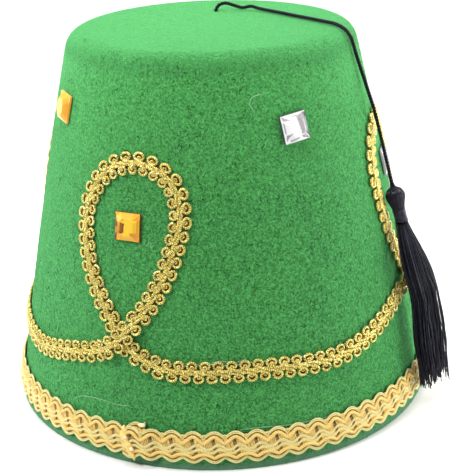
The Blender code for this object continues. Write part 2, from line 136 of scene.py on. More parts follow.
# Columns: azimuth, height mm, turn anticlockwise deg, stone colour.
STONES = {
    "stone_loop_front": (-27.8, 93.5, 1.0, "amber"),
    "stone_loop_right": (77.0, 101.0, 2.0, "clear"),
    "stone_loop_back": (163.75, 95.0, -2.0, "amber"),
    "stone_loop_left": (246.5, 98.0, 1.5, "clear"),
    "stone_high_right": (27.0, 128.5, 6.0, "clear"),
    "stone_high_back_right": (116.0, 130.0, -3.0, "amber"),
    "stone_high_back_left": (209.0, 129.0, 2.5, "clear"),
    "stone_high_left": (-65.0, 131.5, -3.0, "amber"),
}

# Millimetres: up through the felt, across the top, over its edge and down to the tassel.
CORD_ROUTE = (
    (2.6, 28.1, 155.3),
    (2.6, 28.1, 157.6),
    (3.9, 28.0, 159.7),
    (6.9, 27.6, 160.6),
    (10.6, 26.8, 159.6),
    (14.2, 25.6, 158.7),
    (17.6, 23.9, 159.5),
    (21.0, 21.4, 158.9),
    (24.5, 17.9, 158.65),
    (29.4, 11.8, 158.65),
    (35.3, 3.8, 158.65),
    (40.9, -3.4, 158.65),
    (45.8, -10.2, 158.7),
    (49.9, -16.4, 158.7),
    (53.2, -21.0, 157.4),
    (55.3, -23.4, 154.7),
    (56.6, -24.3, 151.1),
    (57.6, -24.6, 147.5),
    (59.8, -24.9, 140.7),
    (62.2, -25.7, 133.2),
    (64.6, -26.6, 125.6),
    (67.0, -27.3, 116.0),
    (69.3, -28.1, 106.0),
    (71.3, -28.9, 97.6),
    (72.1, -29.2, 94.2),
)
CORD_HOLE = np.array(CORD_ROUTE[0]) * MM
# One turn of the cord's two plies, how far each lies off the middle, and its radius.
PLY_TURN = 2.6 * MM
PLY_OFF = 0.4 * MM
PLY_RADIUS = 0.44 * MM
# Millimetres between the stripes of thread on each ply.
CORD_PLY_MM = 0.8

HEAD_LENGTH = 10.6 * MM
# Columns: distance below the cord mm, radius mm.
HEAD_PROFILE = (
    (0.0, 0.9),
    (0.9, 1.2),
    (1.7, 2.5),
    (2.7, 3.5),
    (4.4, 4.1),
    (6.2, 3.9),
    (8.0, 3.3),
    (9.6, 2.8),
    (10.6, 2.6),
)
BINDING_RADIUS = 2.8 * MM
BINDING_TURNS = 15
BINDING_STEPS = 20
SKIRT_STRAYS = 9
# Columns: azimuth, height mm, centre off the wall mm, half width mm, half depth mm.
SKIRT_ROWS = (
    (66.3, 78.0, 6.35, 2.4, 2.35),
    (65.4, 75.0, 7.05, 3.2, 3.05),
    (63.9, 70.0, 8.4, 5.0, 4.3),
    (62.8, 63.0, 10.0, 6.6, 5.4),
    (62.9, 57.0, 10.6, 7.1, 5.8),
    (64.8, 48.0, 10.1, 6.8, 5.8),
    (65.0, 40.0, 9.8, 6.6, 5.8),
    (64.2, 27.0, 9.9, 7.0, 6.4),
    (65.3, 10.0, 9.6, 7.0, 6.4),
)
# The same for the longest threads' tips.
SKIRT_TIPS = (65.4, 5.5, 9.6, 7.0, 6.4)

# Starts of the random draws for the fuzz, the band and the tassel.
FUZZ_SEED, BAND_SEED, TASSEL_SEED = 7, 5, 11


def colour(name, default, description):
    """A colour for the sidebar."""
    return FloatVectorProperty(
        name=name, description=description, subtype="COLOR", size=3, min=0, max=1,
        default=default,
    )


def length(name, default_mm, description):
    """A length for the sidebar; its default is given in millimetres."""
    return FloatProperty(
        name=name, description=description, unit="LENGTH", subtype="DISTANCE",
        default=default_mm * MM, min=0,
    )


class FeltSettings(bpy.types.PropertyGroup):
    body: colour("Felt", (0.031, 0.162, 0.036), "Colour of the felt in full light")
    deep: colour("Felt, deep", (0.005, 0.038, 0.008), "Colour between the fibres")
    curl: colour("Felt, curls", (0.12, 0.52, 0.13), "Colour of the fibres that stand up")
    fibres: IntProperty(
        name="Loose fibres", description="In each of the two pieces of fuzz", default=21000,
        min=100,
    )
    fibre: length("Fibre clump", 1.0, "Width of the clumps that mottle the felt")
    relief: length("Fuzz relief", 0.35, "Height of the fuzz in the bump")
    around: IntProperty(
        name="Steps around", description="Columns of the crown's mesh", default=240, min=32
    )


class GalloonSettings(bpy.types.PropertyGroup):
    pale: colour("Pale cord", (0.97, 0.85, 0.35), "Satin edge and wave cords")
    gold: colour("Orange cord", (0.84, 0.58, 0.15), "Thick wavy cords")
    cross: colour("Cross threads", (0.9, 0.63, 0.19), "Threads that fill the gaps of the weave")
    backing: colour("Backing", (0.56, 0.36, 0.11), "Cloth behind the cords")
    # Painted shade in the gaps of the weave.
    hole_shade: colour("Holes", (0.08, 0.075, 0.05), "Gaps in the weave below the crests")
    ply: length("Ply pitch", 0.6, "Length of one turn of a cord's twist")
    steps: IntProperty(
        name="Steps per wave", description="Stations of a cord in each wave", default=14, min=6
    )
    glue: colour("Glue", (0.68, 0.48, 0.14), "Glue over the band's seam")


class GimpSettings(bpy.types.PropertyGroup):
    gold: colour("Gold", (0.8, 0.67, 0.155), "Metallic wrapping of the gimp cord")
    ground: colour("Ground", (0.11, 0.06, 0.014), "Core thread behind the scrolls")
    pitch: length("Scroll pitch", 5.08, "Distance between scrolls along one edge")
    cord: length("Cord radius", 0.56, "Radius of the outer gimp cord")
    wrap: length("Wrap pitch", 0.8, "Distance between turns of the metallic wrapping")


class TasselSettings(bpy.types.PropertyGroup):
    thread: colour("Thread", (0.003, 0.0033, 0.0105), "Black rayon thread")
    # Painted sheen and painted glints of the thread.
    sheen: colour("Thread, sheen", (0.075, 0.068, 0.1), "Threads that catch the light")
    glint: colour("Thread, glints", (0.25, 0.24, 0.28), "Threads that shine on the head's shoulder")
    threads: IntProperty(
        name="Threads", description="Loose threads in the skirt", default=300, min=40
    )
    thickness: length("Thread radius", 0.24, "Radius of one thread")


# Painted colours for the stones' facets, from shaded to fully lit.
class StoneSettings(bpy.types.PropertyGroup):
    amber_deep: colour("Amber, deep", (0.09, 0.035, 0.006), "Amber facets turned from the light")
    amber: colour("Amber", (0.63, 0.24, 0.022), "Amber facets half lit")
    amber_bright: colour("Amber, bright", (0.72, 0.47, 0.03), "Amber facets in full light")
    clear_deep: colour("Clear, deep", (0.03, 0.04, 0.045), "Clear facets turned from the light")
    clear: colour("Clear", (0.26, 0.24, 0.25), "Clear facets half lit")
    clear_bright: colour("Clear, bright", (0.7, 0.7, 0.7), "Clear facets in full light")


class StudioSettings(bpy.types.PropertyGroup):
    distance: length("Camera distance", 496.1, "From the crown's axis to the camera")
    camera_height: length("Camera height", 255.64, "Of the camera above the floor")
    focal: FloatProperty(
        name="Focal length", description="Of the camera's lens", unit="CAMERA", default=91.22,
        min=20,
    )
    sky: FloatProperty(
        name="Ambient light", description="Strength of the white surroundings", default=0.36
    )


# ------------------------------------------------------------ shapes on the crown's wall


def wall_radius(height):
    """Outer radius at a height: a straight taper plus a slight parabolic belly."""
    share = height / CROWN_HEIGHT
    taper = (TOP_RADIUS - RIM_RADIUS) * share
    return RIM_RADIUS + taper + WALL_BELLY * 4 * share * (1 - share)


def wall_slope(height):
    """How much the radius changes with height."""
    share = height / CROWN_HEIGHT
    return (TOP_RADIUS - RIM_RADIUS + WALL_BELLY * 4 * (1 - 2 * share)) / CROWN_HEIGHT


def unit(vectors):
    """The same directions with a length of 1."""
    return vectors / np.linalg.norm(vectors, axis=-1, keepdims=True)


def wall_normal(azimuth, height):
    """Straight out from the wall: outwards on the level, and tipped up by the wall's slope."""
    turn = np.radians(azimuth)
    return unit(np.stack([np.sin(turn), -np.cos(turn), -wall_slope(height) + 0 * turn], axis=-1))


def wall_tangent(azimuth):
    """Level along the wall, the way that azimuths grow."""
    turn = np.radians(azimuth)
    return np.stack([np.cos(turn), np.sin(turn), 0 * turn], axis=-1)


def on_wall(azimuth, height, offset=0.0):
    """Points at a distance straight out from the wall, one for each azimuth and height."""
    azimuth, height, offset = np.broadcast_arrays(azimuth, height, offset)
    turn = np.radians(azimuth)
    radius = wall_radius(height)
    foot = np.stack([radius * np.sin(turn), -radius * np.cos(turn), height], axis=-1)
    return foot + offset[..., None] * wall_normal(azimuth, height)


def wall_line(rows, out):
    """Points over the wall at rows of azimuth and height in mm, and the wall's normals there."""
    azimuth, height = rows[:, 0], rows[:, 1] * MM
    return on_wall(azimuth, height, out), wall_normal(azimuth, height)


def smooth_curve(points, per_span):
    """A curve of cubic spans through the rows of points, with that many samples a span.

    At each point it runs parallel to the line from the point before to the one after.
    """
    points = np.asarray(points, float)
    p = np.vstack([2 * points[0] - points[1], points, 2 * points[-1] - points[-2]])
    a, b, c, d = (part[:, None] for part in (p[:-3], p[1:-2], p[2:-1], p[3:]))
    t = np.linspace(0, 1, per_span, endpoint=False)[None, :, None]
    spans = 2 * b + (c - a) * t + (2 * a - 5 * b + 4 * c - d) * t**2
    spans = 0.5 * (spans + (3 * b - a - 3 * c + d) * t**3)
    return np.vstack([spans.reshape(-1, points.shape[1]), points[-1:]])


def lengths_along(line):
    """Distance from a line's start to each of its points: the sum of the steps before it."""
    steps = np.linalg.norm(np.diff(line, axis=-2), axis=-1)
    return np.concatenate([np.zeros_like(steps[..., :1]), np.cumsum(steps, axis=-1)], axis=-1)


def full_turn(count):
    """That many even angles once round, in radians."""
    return 2 * np.pi * np.arange(count) / count


def ease(share):
    """A smooth step from 0 to 1: 3 s^2 - 2 s^3."""
    share = np.clip(share, 0, 1)
    return share * share * (3 - 2 * share)


def columns_at(at, along, *lines):
    """Each line's rows at those distances, read between its samples."""
    return [
        np.stack([np.interp(at, along, column) for column in line.T], axis=-1)
        if line.ndim > 1
        else np.interp(at, along, line)
        for line in lines
    ]


# ------------------------------------------------------------ meshes from grids


def grid_mesh(name, grid, along, wrap=True, capped=True, tones=None):
    """One mesh from a grid of points, shape (rows, columns, 3), or from several, (strips, ...).

    Quads join neighbouring rows and columns, the last column to the first if it wraps. The UV
    map holds the distance along a strip in millimetres, and the share of the way across it.
    tones gives each point a grey from 0 to 1.
    """
    rows, columns = grid.shape[-3:-1]
    strips = grid.size // (3 * rows * columns)
    along = np.reshape(along, (-1, rows))
    index = np.arange(strips * rows * columns).reshape(strips, rows, columns)
    across = np.arange(columns) if wrap else np.arange(columns - 1)
    after = (across + 1) % columns
    here, there = index[:, :-1], index[:, 1:]
    quads = np.stack(
        [here[..., across], there[..., across], there[..., after], here[..., after]], axis=-1
    ).reshape(-1, 4)
    share = np.broadcast_to(across / len(across), (strips, rows - 1, len(across)))
    low = np.broadcast_to(along[:, :-1, None], share.shape) / MM
    high = np.broadcast_to(along[:, 1:, None], share.shape) / MM
    step = 1 / len(across)
    uv = np.stack(
        [low, share, high, share, high, share + step, low, share + step], axis=-1
    ).reshape(-1, 2)
    loops = quads.reshape(-1)
    starts = np.arange(len(quads)) * 4
    if capped:
        ends = np.concatenate([index[:, 0], index[:, -1, ::-1]])
        starts = np.concatenate([starts, len(loops) + np.arange(len(ends)) * columns])
        uv = np.concatenate([uv, np.zeros((ends.size, 2))])
        loops = np.concatenate([loops, ends.reshape(-1)])
    mesh = bpy.data.meshes.new(name)
    mesh.vertices.add(index.size)
    mesh.vertices.foreach_set("co", grid.reshape(-1).astype(np.float32))
    mesh.loops.add(len(loops))
    mesh.loops.foreach_set("vertex_index", loops.astype(np.int32))
    mesh.polygons.add(len(starts))
    mesh.polygons.foreach_set("loop_start", starts.astype(np.int32))
    layer = mesh.uv_layers.new(name="along_across")
    layer.data.foreach_set("uv", uv.reshape(-1).astype(np.float32))
    mesh.update(calc_edges=True)
    mesh.validate()
    mesh.shade_smooth()
    if tones is not None:
        painted = mesh.color_attributes.new("tone", "FLOAT_COLOR", "POINT")
        greys = np.repeat(np.reshape(tones, (-1, 1)), 4, axis=1)
        greys[:, 3] = 1
        painted.data.foreach_set("color", greys.reshape(-1).astype(np.float32))
    return mesh


def tubes(name, lines, radius, sides, reference, flatten=1.0, tones=None):
    """Round strands: a ring of points carried along each line, square to its run.

    ring(v) = line + radius (cos v side + flatten sin v up), where side is run x reference and
    up is side x run. lines has the shape (stations, 3), or (strands, stations, 3) for several
    strands, and tones gives each station a grey.
    """
    lines = np.asarray(lines, float)
    lines = lines.reshape(-1, *lines.shape[-2:])
    run = unit(np.gradient(lines, axis=1))
    side = unit(np.cross(run, reference))
    up = np.cross(side, run)
    turn = full_turn(sides)
    reach = np.broadcast_to(radius, lines.shape[:2])[..., None, None]
    ring = np.cos(turn)[:, None] * side[..., None, :]
    ring = ring + flatten * np.sin(turn)[:, None] * up[..., None, :]
    grid = lines[..., None, :] + reach * ring
    if tones is not None:
        tones = np.broadcast_to(tones[..., None], grid.shape[:-1])
    return grid_mesh(name, grid, lengths_along(lines), tones=tones)


def joined(name, meshes):
    """One mesh of several: their materials are kept in order, one for each mesh."""
    body = bmesh.new()
    for slot, mesh in enumerate(meshes):
        before = len(body.faces)
        body.from_mesh(mesh)
        body.faces.ensure_lookup_table()
        for face in body.faces[before:]:
            face.material_index = slot
        bpy.data.meshes.remove(mesh)
    whole = bpy.data.meshes.new(name)
    body.to_mesh(whole)
    body.free()
    return whole


def place(name, mesh, finishes, slot, *nodes):
    """The mesh as a piece that rides on the hat and stands for those solids."""
    piece = bpy.data.objects.new(name, mesh)
    bpy.context.scene.collection.objects.link(piece)
    for finish in finishes:
        mesh.materials.append(finish)
    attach(piece, "root")
    if nodes:
        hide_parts(*nodes)
    return piece


# ------------------------------------------------------------ materials


class Reading:
    """A number or vector in a material; arithmetic on numbers adds its Math nodes."""

    def __init__(self, finish, socket):
        self.finish = finish
        self.socket = socket

    def math(self, operation, *others):
        node = self.finish.node("ShaderNodeMath", {"operation": operation}, self, *others)
        return Reading(self.finish, node.outputs[0])

    def __add__(self, other):
        return self.math("ADD", other)

    def __sub__(self, other):
        return self.math("SUBTRACT", other)

    def __mul__(self, other):
        return self.math("MULTIPLY", other)

    def __rsub__(self, other):
        return (self * -1.0) + other

    __radd__ = __add__
    __rmul__ = __mul__

    def sine(self):
        """The sine of so many whole turns."""
        return (self * (2 * math.pi)).math("SINE")

    def size(self):
        """The number without its sign."""
        return self.math("ABSOLUTE")

    def clamped(self):
        """The number held between 0 and 1."""
        return self.math("MAXIMUM", 0.0).math("MINIMUM", 1.0)

    def wrapped(self, low, high):
        """The number brought between two bounds by whole steps from one to the other."""
        return self.math("WRAP", high, low)


class Finish:
    """A Principled material, with one method that adds any other node."""

    def __init__(self, name, specular=0.5, **fixed):
        self.material = bpy.data.materials.new(name)
        self.material.use_nodes = True
        self.tree = self.material.node_tree
        self.shader = self.tree.nodes["Principled BSDF"]
        self.feed("Specular IOR Level", specular)
        for socket, value in fixed.items():
            self.feed(socket.replace("_", " ").title(), value)

    def set(self, socket, value):
        """Link a reading to a socket, or write a colour or number into it."""
        if isinstance(value, Reading):
            self.tree.links.new(value.socket, socket)
        elif hasattr(value, "__len__") and socket.type == "RGBA":
            socket.default_value = (*value[:3], 1.0)
        else:
            socket.default_value = value

    def node(self, kind, settings=None, *ordered, **named):
        """Any other node: its own settings first, then its sockets in order and by name."""
        node = self.tree.nodes.new(kind)
        for key, value in (settings or {}).items():
            setattr(node, key, value)
        for socket, value in zip(node.inputs, ordered):
            self.set(socket, value)
        for key, value in named.items():
            self.set(node.inputs[key.replace("_", " ").title()], value)
        return node

    def feed(self, socket, value):
        """Set or link a socket of the Principled shader."""
        self.set(self.shader.inputs[socket], value)

    def coordinates(self, output="Object"):
        """The place on the piece, or its UV map."""
        return Reading(self, self.node("ShaderNodeTexCoord").outputs[output])

    def split(self, vector):
        """A vector's three numbers."""
        parts = self.node("ShaderNodeSeparateXYZ", None, vector).outputs
        return [Reading(self, part) for part in parts]

    def stretched(self, vector, scale):
        """A vector with each of its numbers scaled."""
        return Reading(self, self.node("ShaderNodeMapping", None, vector, scale=scale).outputs[0])

    def noise(self, vector, scale, detail=2.0, roughness=0.5, output=0):
        """Noise from 0 to 1, or as a colour from output 1."""
        node = self.node(
            "ShaderNodeTexNoise", None, vector, scale=scale, detail=detail, roughness=roughness
        )
        return Reading(self, node.outputs[output])

    def tone(self):
        """The grey that grid_mesh gave each point."""
        node = self.node("ShaderNodeAttribute", {"attribute_name": "tone"})
        return Reading(self, node.outputs["Fac"])

    def ramp(self, value, stops):
        """A colour ramp with stops at those shares."""
        node = self.node("ShaderNodeValToRGB", None, value)
        elements = node.color_ramp.elements
        for index, (at, shade) in enumerate(stops):
            element = elements[index] if index < 2 else elements.new(at)
            element.position = at
            element.color = (*shade, 1.0)
        return Reading(self, node.outputs[0])

    def mix(self, factor, first, second):
        """From the first colour at factor 0 to the second at 1."""
        node = self.node("ShaderNodeMix", {"data_type": "RGBA", "clamp_factor": True})
        for socket, value in ((0, factor), (6, first), (7, second)):
            self.set(node.inputs[socket], value)
        return Reading(self, node.outputs[2])

    def bump(self, height, distance, strength=0.8):
        """Raise the surface's look by a height, where 1 stands for that distance."""
        node = self.node("ShaderNodeBump", strength=strength, distance=distance, height=height)
        self.feed("Normal", Reading(self, node.outputs[0]))


def shaded(base, share):
    """A colour times a share, with no channel over 1."""
    return [min(channel * share, 1.0) for channel in base]


def cut_edge_and_painted_shadow(finish, tone):
    """The tone, greyer at the felt's cut edge above the table, partly as painted contact shadow."""
    _, _, height = finish.split(finish.coordinates())
    edge = ((CUT_EDGE_TOP - height) * 900.0).clamped()
    return finish.mix(edge * 0.85, tone, (0.1, 0.2, 0.125))


def top_mottle(finish, place_on, scale):
    """How far a point is on the crown's flat top, 0 to 1, and the blotches there."""
    _, _, height = finish.split(place_on)
    on_top = ((height - (CROWN_HEIGHT - FLAT_TOP_REACH)) * 180.0).clamped()
    return on_top, finish.noise(finish.stretched(place_on, (0.6, 1.4, 1.0)), scale)


def felt_finish(settings):
    """Wool felt: light curls where warped noise nears its middle, and deep specks between.

    It has painted light from above: lighter from 100 mm up and on the flat top, which is blotched.
    """
    finish = Finish(
        "felt_green", specular=0.1, roughness=1.0, sheen_weight=0.5, sheen_roughness=0.5,
        sheen_tint=(0.25, 1.0, 0.4),
    )
    place_on = finish.coordinates()
    _, _, height = finish.split(place_on)
    warp = finish.noise(place_on, 1.2 / settings.fibre, output=1)
    curled = finish.node(
        "ShaderNodeVectorMath", {"operation": "MULTIPLY_ADD"}, warp, (1.4 * MM,) * 3, place_on
    )
    curled = Reading(finish, curled.outputs[0])
    first = finish.noise(curled, 1.15 / settings.fibre, 1.0)
    second = finish.noise(finish.stretched(curled, (1.3, 1.3, 1.7)), 1.2 / settings.fibre, 1.0)
    broken = finish.noise(place_on, 1.0 / settings.fibre, 2.0, 0.6)
    first, second = ((1.0 - (part - 0.5).size() * 10.0).clamped() for part in (first, second))
    curls = first.math("MAXIMUM", second) * ((broken - 0.36) * 4.0).clamped()
    specks = finish.noise(curled, 1.6 / settings.fibre, 2.0, 0.65)
    deep = ((0.49 - specks) * 9.0).clamped()
    broad = finish.noise(place_on, 45.0)
    on_top, mottle = top_mottle(finish, place_on, 300.0)
    # Painted light from above, lighter from 100 mm up and on the flat top, plus random blotches
    # there.
    painted_top_light_and_blotches = ((height - 100 * MM) * 25.0).clamped() * 0.9 + (mottle - 0.5) * on_top * 1.6
    bright = shaded(settings.body, 1.5)
    body = finish.mix((broad - 0.4) * 0.8 + painted_top_light_and_blotches, settings.body, bright)
    body = finish.mix(deep * (0.9 - on_top * 0.3), body, settings.deep)
    body = finish.mix(curls * (0.9 - on_top * 0.45), body, settings.curl)
    finish.feed("Base Color", cut_edge_and_painted_shadow(finish, body))
    fibres = finish.noise(curled, 4.0 / settings.fibre, 2.0, 0.7)
    nap = (curls * 0.6 + fibres * 0.4 - deep * 0.5) * (1.0 + on_top * 1.2)
    finish.bump(nap + mottle * on_top * 1.5, settings.relief)
    return finish.material


def fuzz_finish(settings):
    """Loose fibres: each has its own grey between deep and curl, in patches."""
    finish = Finish("felt_fibres", specular=0.1, roughness=1.0)
    place_on = finish.coordinates()
    patches = finish.noise(place_on, 1.2 / settings.fibre, 1.0)
    on_top, mottle = top_mottle(finish, place_on, 450.0)
    lit = finish.tone() * 1.1 - 0.1 + (patches - 0.5) * 0.3
    lit = lit + (mottle - 0.5) * on_top * 2.0
    finish.feed("Base Color", cut_edge_and_painted_shadow(finish, finish.mix(lit, settings.deep, settings.curl)))
    return finish.material


def cord_finish(name, base, ply_mm, groove_shade, **fixed):
    """Twisted cord: slanting plies from its UV map, u along it in millimetres and v round it."""
    finish = Finish(name, **fixed)
    u, v, _ = finish.split(finish.coordinates("UV"))
    ply = (u * (1 / ply_mm) + v).sine() * 0.5 + 0.5
    grain = finish.noise(finish.coordinates(), 900.0)
    # Painted shade: each ply is darker towards the grooves between plies, mixed with random grain.
    finish.feed("Base Color", finish.mix(ply * 0.75 + grain * 0.25, shaded(base, groove_shade), base))
    finish.bump(ply, 0.12 * MM)
    return finish.material


def backing_finish(settings):
    """Woven cloth: painted shade between slanting threads, and in the weave's holes under every
    crest.

    u of its UV map counts waves, and v is the share of the way up the band.
    """
    finish = Finish("galloon_backing", roughness=0.7)
    waves, up, _ = finish.split(finish.coordinates("UV"))
    threads = (waves * 18.0 + up * 5.0).sine() * 0.5 + 0.5
    # Painted shade: the cloth is darker between its threads.
    cloth = finish.mix(threads, shaded(settings.backing, 0.45), settings.backing)
    # The weave's holes are painted nearly black, as shade in the gaps.
    beside = (waves + 0.02).wrapped(-0.5, 0.5)
    for middle, half_width, half_height in HOLES:
        across, along = beside * (1 / half_width), (up - middle) * (1 / half_height)
        cloth = finish.mix((1.6 - across * across - along * along) * 2.0, cloth, settings.hole_shade)
    finish.feed("Base Color", cloth)
    finish.bump(threads, 0.15 * MM)
    return finish.material


def gimp_finish(settings):
    """Metallic wrapping: ribs across the cord with painted shade between, and painted glints."""
    finish = Finish("gimp_gold", metallic=0.55, roughness=0.35)
    u, v, _ = finish.split(finish.coordinates("UV"))
    rib = (u * (MM / settings.wrap) + v).sine() * 0.5 + 0.5
    glint = finish.noise(finish.coordinates(), 1100.0, 1.0)
    worn = finish.noise(finish.coordinates(), 420.0)
    # A darker copy of the gold, painted as shade between the wrapping's turns.
    low = [settings.gold[0] * 0.25, settings.gold[1] * 0.19, settings.gold[2] * 0.1]
    body = finish.mix(rib * 0.85 + glint * 0.5 + (worn - 0.5) * 1.2 - 0.1, low, settings.gold)
    # Painted glints: specks of near-white colour, which are also smoother.
    spark = finish.ramp(glint, [(0.57, (0, 0, 0)), (0.66, (1, 1, 1))])
    finish.feed("Base Color", finish.mix(spark * 0.75, body, (1.0, 0.9, 0.42)))
    finish.feed("Roughness", 0.42 - spark * 0.25)
    finish.bump(rib + glint * 0.6, 0.08 * MM)
    return finish.material


# ------------------------------------------------------------ felt crown


def arc(centre_r, centre_h, radius, first, last, count):
    """Profile points on an arc; angles in degrees, 0 straight out and 90 straight up."""
    angle = np.radians(np.linspace(first, last, count))
    return np.stack([centre_r + radius * np.cos(angle), centre_h + radius * np.sin(angle)], -1)


def crown_profile():
    """(radius, height) from the middle of the top down to the rim and up the inside."""
    lean = math.atan(-wall_slope(CROWN_HEIGHT - TOP_EDGE_RADIUS))
    tangent = CROWN_HEIGHT - TOP_EDGE_RADIUS * (1 - math.sin(lean))
    centre_r = wall_radius(tangent) - TOP_EDGE_RADIUS * math.cos(lean)
    centre_h = CROWN_HEIGHT - TOP_EDGE_RADIUS
    lean_deg = math.degrees(lean)
    down = np.linspace(tangent, RIM_EDGE_RADIUS, 86)[1:]
    up = np.linspace(RIM_EDGE_RADIUS, tangent, 30)[:-1]
    flat = np.linspace(0, centre_r, 40)[:-1]
    under = np.linspace(centre_r, 0, 12)[1:]
    rim = arc(RIM_RADIUS - RIM_EDGE_RADIUS, RIM_EDGE_RADIUS, RIM_EDGE_RADIUS, -30, -90, 4)
    inner_rim = [[RIM_RADIUS - FELT + RIM_EDGE_RADIUS / 2, 0.0]]
    return np.concatenate([
        np.stack([flat, 0 * flat + CROWN_HEIGHT], -1),
        arc(centre_r, centre_h, TOP_EDGE_RADIUS, 90, lean_deg, 14),
        np.stack([wall_radius(down), down], -1),
        rim,
        inner_rim,
        np.stack([wall_radius(up) - FELT / math.cos(lean), up], -1),
        arc(centre_r, centre_h, TOP_EDGE_RADIUS - FELT, lean_deg, 90, 8),
        np.stack([under, 0 * under + CROWN_HEIGHT - FELT], -1),
    ])


WAVER_DEPTH = 0.15 * MM
HOLE_DIP = 0.6 * MM
HOLE_DIP_REACH = 2.2 * MM


def make_crown(context):
    """Surface of the profile turned round the axis, with a slight waver in the hand-made felt.

    The waver is a sum of three sines of azimuth and height, scaled to lie between 0 and its
    depth inwards, and the top dips by a small bell where the cord goes in.
    """
    settings = context.scene.fez_felt
    profile = crown_profile()
    turn = full_turn(settings.around)
    radius, height = profile[:, 0][:, None], profile[:, 1][:, None]
    waver = np.sin(3 * turn + 40 * height) + np.sin(5 * turn - 70 * height + 1)
    waver = (waver + np.sin(8 * turn + 110 * height + 2) - 3) / 6 * WAVER_DEPTH
    inwards = waver * np.clip(radius / RIM_RADIUS, 0, 1)
    x = (radius + inwards) * np.sin(turn)
    y = -(radius + inwards) * np.cos(turn)
    away = np.hypot(x - CORD_HOLE[0], y - CORD_HOLE[1])
    dip = HOLE_DIP * np.exp(-((away / HOLE_DIP_REACH) ** 2))
    z = height + 0 * x - dip * (height > CROWN_HEIGHT - 0.1 * MM)
    mesh = grid_mesh("felt", np.stack([x, y, z], axis=-1), lengths_along(profile), capped=False)
    weld(mesh)
    place("felt_body", mesh, [felt_finish(settings)], "felt_green", "felt_crown")


def weld(mesh):
    """Close the poles and seams by merging points that coincide, and turn the faces outwards."""
    body = bmesh.new()
    body.from_mesh(mesh)
    bmesh.ops.remove_doubles(body, verts=body.verts, dist=0.005 * MM)
    bmesh.ops.recalc_face_normals(body, faces=body.faces)
    body.to_mesh(mesh)
    body.free()


def fuzz_mesh(name, settings, random):
    """Loose fibres on the felt: flat ribbons that leave the surface and bend back to it.

    A fibre starts at a random place on the outer profile, taken in proportion to its area, and
    runs in a random direction along the surface while it rises like half a sine.
    """
    profile = crown_profile()
    outer = profile[: np.argmin(profile[:, 1])]
    along = lengths_along(outer)
    area = np.concatenate([[0], np.cumsum(np.diff(along) * (outer[1:, 0] + outer[:-1, 0]))])
    count = settings.fibres
    pick = np.interp(random.random(count) * area[-1], area, along)
    radius, height = columns_at(pick, along, outer)[0].T
    after = columns_at(pick + 0.2 * MM, along, outer)[0]
    near = unit(after - columns_at(pick - 0.2 * MM, along, outer)[0])
    turn = random.random(count) * 2 * np.pi
    outwards = np.stack([np.sin(turn), -np.cos(turn), 0 * turn], axis=-1)
    around = np.stack([np.cos(turn), np.sin(turn), 0 * turn], axis=-1)
    down = near[:, :1] * outwards
    down[:, 2] += near[:, 1]
    normal = np.cross(around, down)
    foot = radius[:, None] * outwards
    foot[:, 2] += height
    heading = random.random(count) * 2 * np.pi
    run = np.cos(heading)[:, None] * around + 1.3 * np.sin(heading)[:, None] * down
    curl = np.cross(normal, run) * random.normal(0, 0.35, count)[:, None]
    reach = (0.4 + 0.6 * random.random(count)) * MM
    lift = (0.1 + 0.35 * random.random(count) ** 2) * MM
    share = np.linspace(0, 1, 3)
    bend = np.sin(np.pi * share)
    line = foot[:, None] + (share - 0.5)[:, None] * 2 * (reach[:, None] * run)[:, None]
    line = line + bend[:, None] * ((lift[:, None] * normal) + reach[:, None] * curl)[:, None]
    line = line - 0.05 * MM * normal[:, None]
    side = unit(np.cross(normal, run))[:, None, None] * np.array([-1, 1])[:, None]
    width = (0.08 + 0.12 * random.random(count)) * MM
    grid = line[..., None, :] + (width[:, None] * (0.4 + 0.6 * bend))[..., None, None] * side
    grid[..., 2] = np.maximum(grid[..., 2], 0.0)
    tones = np.broadcast_to(random.random(count)[:, None, None] ** 1.3, grid.shape[:-1])
    return grid_mesh(name, grid, lengths_along(line), wrap=False, capped=False, tones=tones)


def make_fuzz(context):
    """Two coats of loose fibres all over the felt."""
    settings = context.scene.fez_felt
    finish = fuzz_finish(settings)
    random = np.random.default_rng(FUZZ_SEED)
    for name in ("felt_fuzz_a", "felt_fuzz_b"):
        place(name, fuzz_mesh(name, settings, random), [finish], "felt_green")


# ------------------------------------------------------------ woven band


def band_lift(azimuth):
    """How far the band stands off the wall: its first end lies over its last one."""
    lap_end = BAND_START_AZIMUTH + BAND_LAP + BAND_LAP_RAMP
    return GAP + (BAND_THICK + GAP) * ease((lap_end - azimuth) / BAND_LAP_RAMP)


def band_cord(azimuth, height_mm, out_mm):
    """Points of the band; its last end climbs a little, to peek out above the first one."""
    climb = BAND_PEEK * ease((azimuth - BAND_START_AZIMUTH - 360) / BAND_LAP)
    height = BAND_BOTTOM + (height_mm + climb) * MM
    return on_wall(azimuth, height, band_lift(azimuth) + out_mm * MM)


def crested(phase, sharpness):
    """A wave that is 1 at phase 0 and 0 half a turn on: the sharper, the narrower its crests."""
    return ((1 + np.cos(phase)) / 2) ** sharpness


def galloon_heights(phase):
    """Height of each cord of the band over its bottom, in mm, at a phase that is 0 on a crest.

    Each is a constant plus a multiple of ((1 + cos p) / 2) to a power, of |sin(p / 2)| or of
    1 - |cos(p / 2)|, so that crests and troughs are as broad as on the woven band.
    """
    return {
        "edge": 9.65 + 2.6 * crested(phase, 0.42),
        "high": 7.95 + 2.7 * crested(phase, 0.8),
        "wave": 5.35 + 2.1 * crested(phase - 1.2, 0.9),
        "ripple": 4.2 + 1.5 * crested(phase - 1.7, 1.5),
        "low": 1.95 + 1.65 * np.abs(np.sin(phase / 2)) ** 0.8,
        "scallop": 0.4 + 1.95 * (1 - np.abs(np.cos(phase / 2)) ** 1.15),
    }


